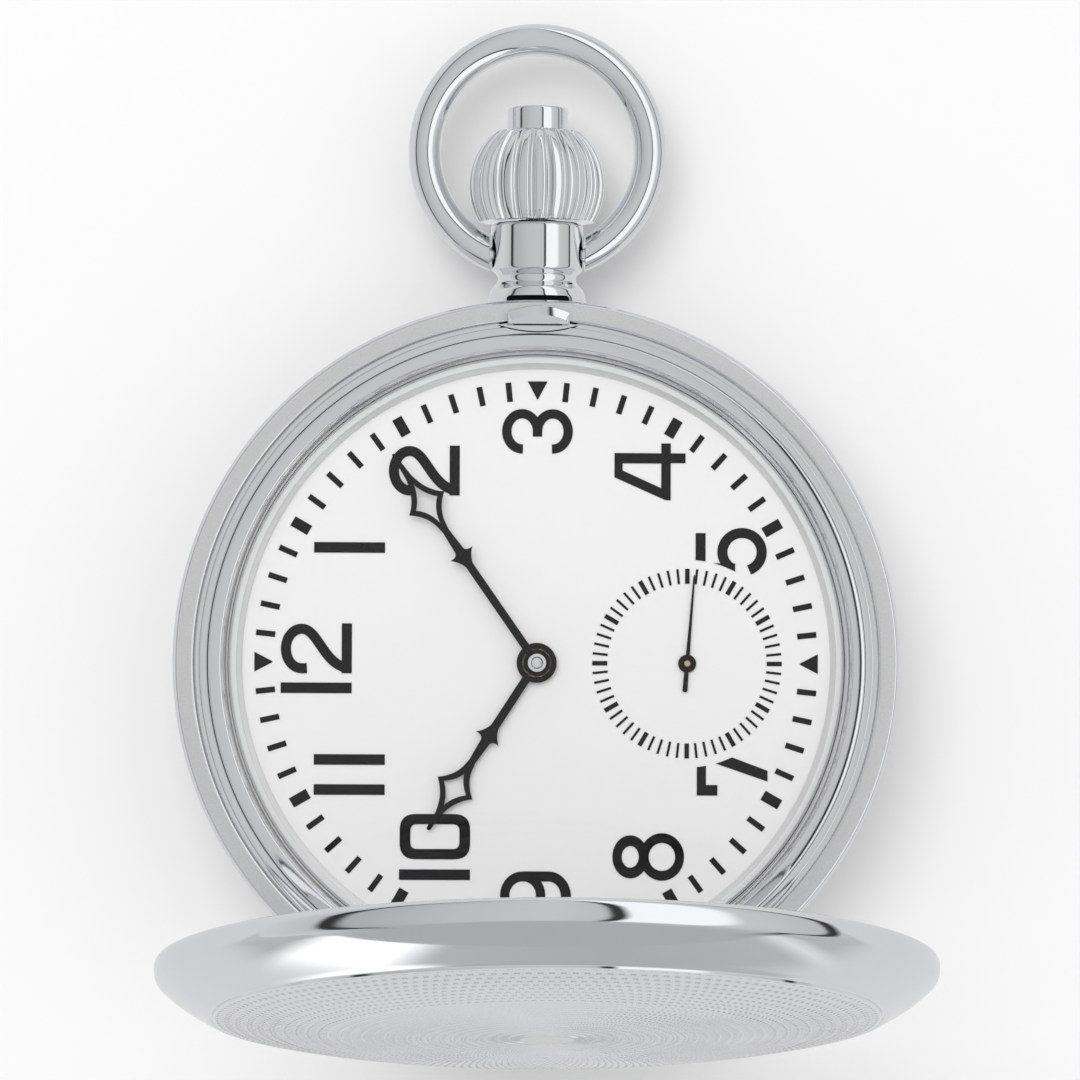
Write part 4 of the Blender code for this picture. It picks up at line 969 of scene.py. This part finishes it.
def ramp_of(tree, value, panels):
    """Grey levels by an angle in radians: panels are (degrees, level) pairs from -180 to 180."""
    share = node_of(tree, "ShaderNodeMapRange")
    share.inputs["From Min"].default_value = -math.pi
    share.inputs["From Max"].default_value = math.pi
    tree.links.new(value, share.inputs["Value"])
    ramp = node_of(tree, "ShaderNodeValToRGB")
    tree.links.new(share.outputs["Result"], ramp.inputs["Fac"])
    stops = ramp.color_ramp.elements
    while len(stops) < len(panels):
        stops.new(0.5)
    for stop, (degrees, level) in zip(stops, panels):
        stop.position = (degrees + 180) / 360
        stop.color = (level, level, level, 1)
    return ramp.outputs["Color"]


def mixed(tree, share, colour, level):
    """The colour, which turns to a grey level as the share goes from 0 to 1."""
    mix = node_of(tree, "ShaderNodeMix", data_type="RGBA")
    tree.links.new(share, mix.inputs["Factor"])
    tree.links.new(colour, mix.inputs[MIX_A])
    mix.inputs[MIX_B].default_value = (level, level, level, 1)
    return mix.outputs[MIX_RESULT]


def make_world():
    """A soft studio: white for diffuse light, and pale panels with thin dark gaps in the gloss.

    The panels lie round the Y axis, so their angles are 0 overhead, 90 towards +X and -90 towards -X.
    """
    world = bpy.data.worlds.new("studio")
    world.use_nodes = True
    bpy.context.scene.world = world
    tree = world.node_tree
    background = tree.nodes["Background"]
    place = node_of(tree, "ShaderNodeTexCoord")
    split = node_of(tree, "ShaderNodeSeparateXYZ")
    tree.links.new(place.outputs["Generated"], split.inputs["Vector"])
    lean = node_of(tree, "ShaderNodeMath", operation="ARCTAN2")
    tree.links.new(split.outputs["X"], lean.inputs[0])
    tree.links.new(split.outputs["Z"], lean.inputs[1])
    panels = (
        (-180, 0.75), (-100, 0.8), (-72, 0.62), (-69, GAP), (-65, GAP), (-61, 0.5), (-30, 0.62),
        (0, 0.68), (15, 0.62), (17, 0.03), (20, 0.03), (22, SOFTBOX), (50, SOFTBOX), (56, 0.7), (84, 0.6),
        (86, GAP), (89, GAP), (92, 0.8), (180, 0.75),
    )
    levels = ramp_of(tree, lean.outputs[0], panels)
    dusk = node_of(tree, "ShaderNodeMapRange", interpolation_type="SMOOTHSTEP")
    dusk.inputs["From Min"].default_value = DUSK_START
    dusk.inputs["From Max"].default_value = DUSK_END
    tree.links.new(split.outputs["Y"], dusk.inputs["Value"])
    path = node_of(tree, "ShaderNodeLightPath")
    colour = mixed(tree, dusk.outputs["Result"], levels, HORIZON)
    colour = mixed(tree, path.outputs["Is Diffuse Ray"], colour, AMBIENT)
    colour = mixed(tree, path.outputs["Is Camera Ray"], colour, BACKDROP)
    tree.links.new(colour, background.inputs["Color"])


def floor_finish():
    """A pale floor that glows in polished metal as a painted reflection of a larger dim room: light grey,
    with brighter panels behind the hinge.
    """
    made = finish_of("pale_floor", (0.94, 0.94, 0.94), 0.0, 0.7, 0.02, tint=0.01, cloud=40, specular=0.1)
    tree = made.node_tree
    spot = node_of(tree, "ShaderNodeNewGeometry")
    split = node_of(tree, "ShaderNodeSeparateXYZ")
    tree.links.new(spot.outputs["Position"], split.inputs["Vector"])
    away = node_of(tree, "ShaderNodeMath", operation="MULTIPLY")
    away.inputs[1].default_value = -1
    tree.links.new(split.outputs["Y"], away.inputs[0])
    bearing = node_of(tree, "ShaderNodeMath", operation="ARCTAN2")
    tree.links.new(split.outputs["X"], bearing.inputs[0])
    tree.links.new(away.outputs[0], bearing.inputs[1])
    # Levels of the painted reflection by bearing: a painted highlight panel behind the hinge to the left, and
    # a fainter one to the right.
    panels = (
        (-180, 0.66), (-60, 0.62), (-36, 0.55), (-31, 1.3), (-17, 1.3), (-12, 0.55), (8, 0.5), (30, 0.56),
        (34, 0.9), (38, 0.56), (90, 0.64), (180, 0.66),
    )
    far = node_of(tree, "ShaderNodeMapRange", interpolation_type="SMOOTHSTEP")
    far.inputs["From Min"].default_value = FLOOR_NEAR
    far.inputs["From Max"].default_value = FLOOR_FAR
    tree.links.new(away.outputs[0], far.inputs["Value"])
    blend = node_of(tree, "ShaderNodeMix", data_type="RGBA")
    tree.links.new(far.outputs["Result"], blend.inputs["Factor"])
    blend.inputs[MIX_A].default_value = (FLOOR_PAINTED_REFLECTION, FLOOR_PAINTED_REFLECTION, FLOOR_PAINTED_REFLECTION, 1)
    tree.links.new(ramp_of(tree, bearing.outputs[0], panels), blend.inputs[MIX_B])
    # Painted reflection: the floor glows with these levels for glossy rays only, so polished metal mirrors it
    # grey with bright panels.
    painted_reflection = node_of(tree, "ShaderNodeEmission")
    tree.links.new(blend.outputs[MIX_RESULT], painted_reflection.inputs["Color"])
    path = node_of(tree, "ShaderNodeLightPath")
    both = node_of(tree, "ShaderNodeMixShader")
    tree.links.new(path.outputs["Is Glossy Ray"], both.inputs[0])
    tree.links.new(tree.nodes["Principled BSDF"].outputs["BSDF"], both.inputs[1])
    tree.links.new(painted_reflection.outputs["Emission"], both.inputs[2])
    tree.links.new(both.outputs["Shader"], tree.nodes["Material Output"].inputs["Surface"])
    return made


def make_stage():
    bm = bmesh.new()
    bmesh.ops.create_grid(bm, x_segments=1, y_segments=1, size=FLOOR_HALF)
    mesh = stored(bm, "floor")
    mesh.transform(Matrix.Scale(MM, 4))
    floor = bpy.data.objects.new("floor", mesh)
    mesh.materials.append(floor_finish())
    bpy.context.scene.collection.objects.link(floor)

    lamp = bpy.data.lights.new("key", "AREA")
    lamp.shape, lamp.size, lamp.energy = "DISK", LAMP_SIZE, LAMP_WATTS
    light = bpy.data.objects.new("key", lamp)
    light.location = LAMP_SPOT
    light.rotation_euler = (-Vector(LAMP_SPOT)).to_track_quat("-Z", "Y").to_euler()
    light.visible_glossy = False
    bpy.context.scene.collection.objects.link(light)


def make_camera():
    camera = bpy.data.cameras.new("camera")
    camera.lens, camera.sensor_width = CAMERA_LENS, CAMERA_SENSOR
    camera.clip_start, camera.clip_end = CAMERA_NEAR, CAMERA_FAR
    obj = bpy.data.objects.new("camera", camera)
    spot, aim = Vector(CAMERA_SPOT) * MM, Vector(CAMERA_AIM) * MM
    back = (spot - aim).normalized()
    upright = Matrix.Rotation(math.radians(CAMERA_ROLL), 3, "Z") @ Vector(Y_AXIS)
    right = upright.cross(back).normalized()
    up = back.cross(right)
    turn = Matrix((right, up, back)).transposed().to_4x4()
    obj.matrix_world = Matrix.Translation(spot) @ turn
    bpy.context.scene.collection.objects.link(obj)
    bpy.context.scene.camera = obj


make_case()
make_bezel_and_glass()
make_lid()
make_hinge()
make_catch()
make_pendant()
make_bow()
make_crown()
make_dial()
make_hands()
dress_frame()
make_world()
make_stage()
make_camera()
bpy.context.scene.view_settings.view_transform = "Standard"
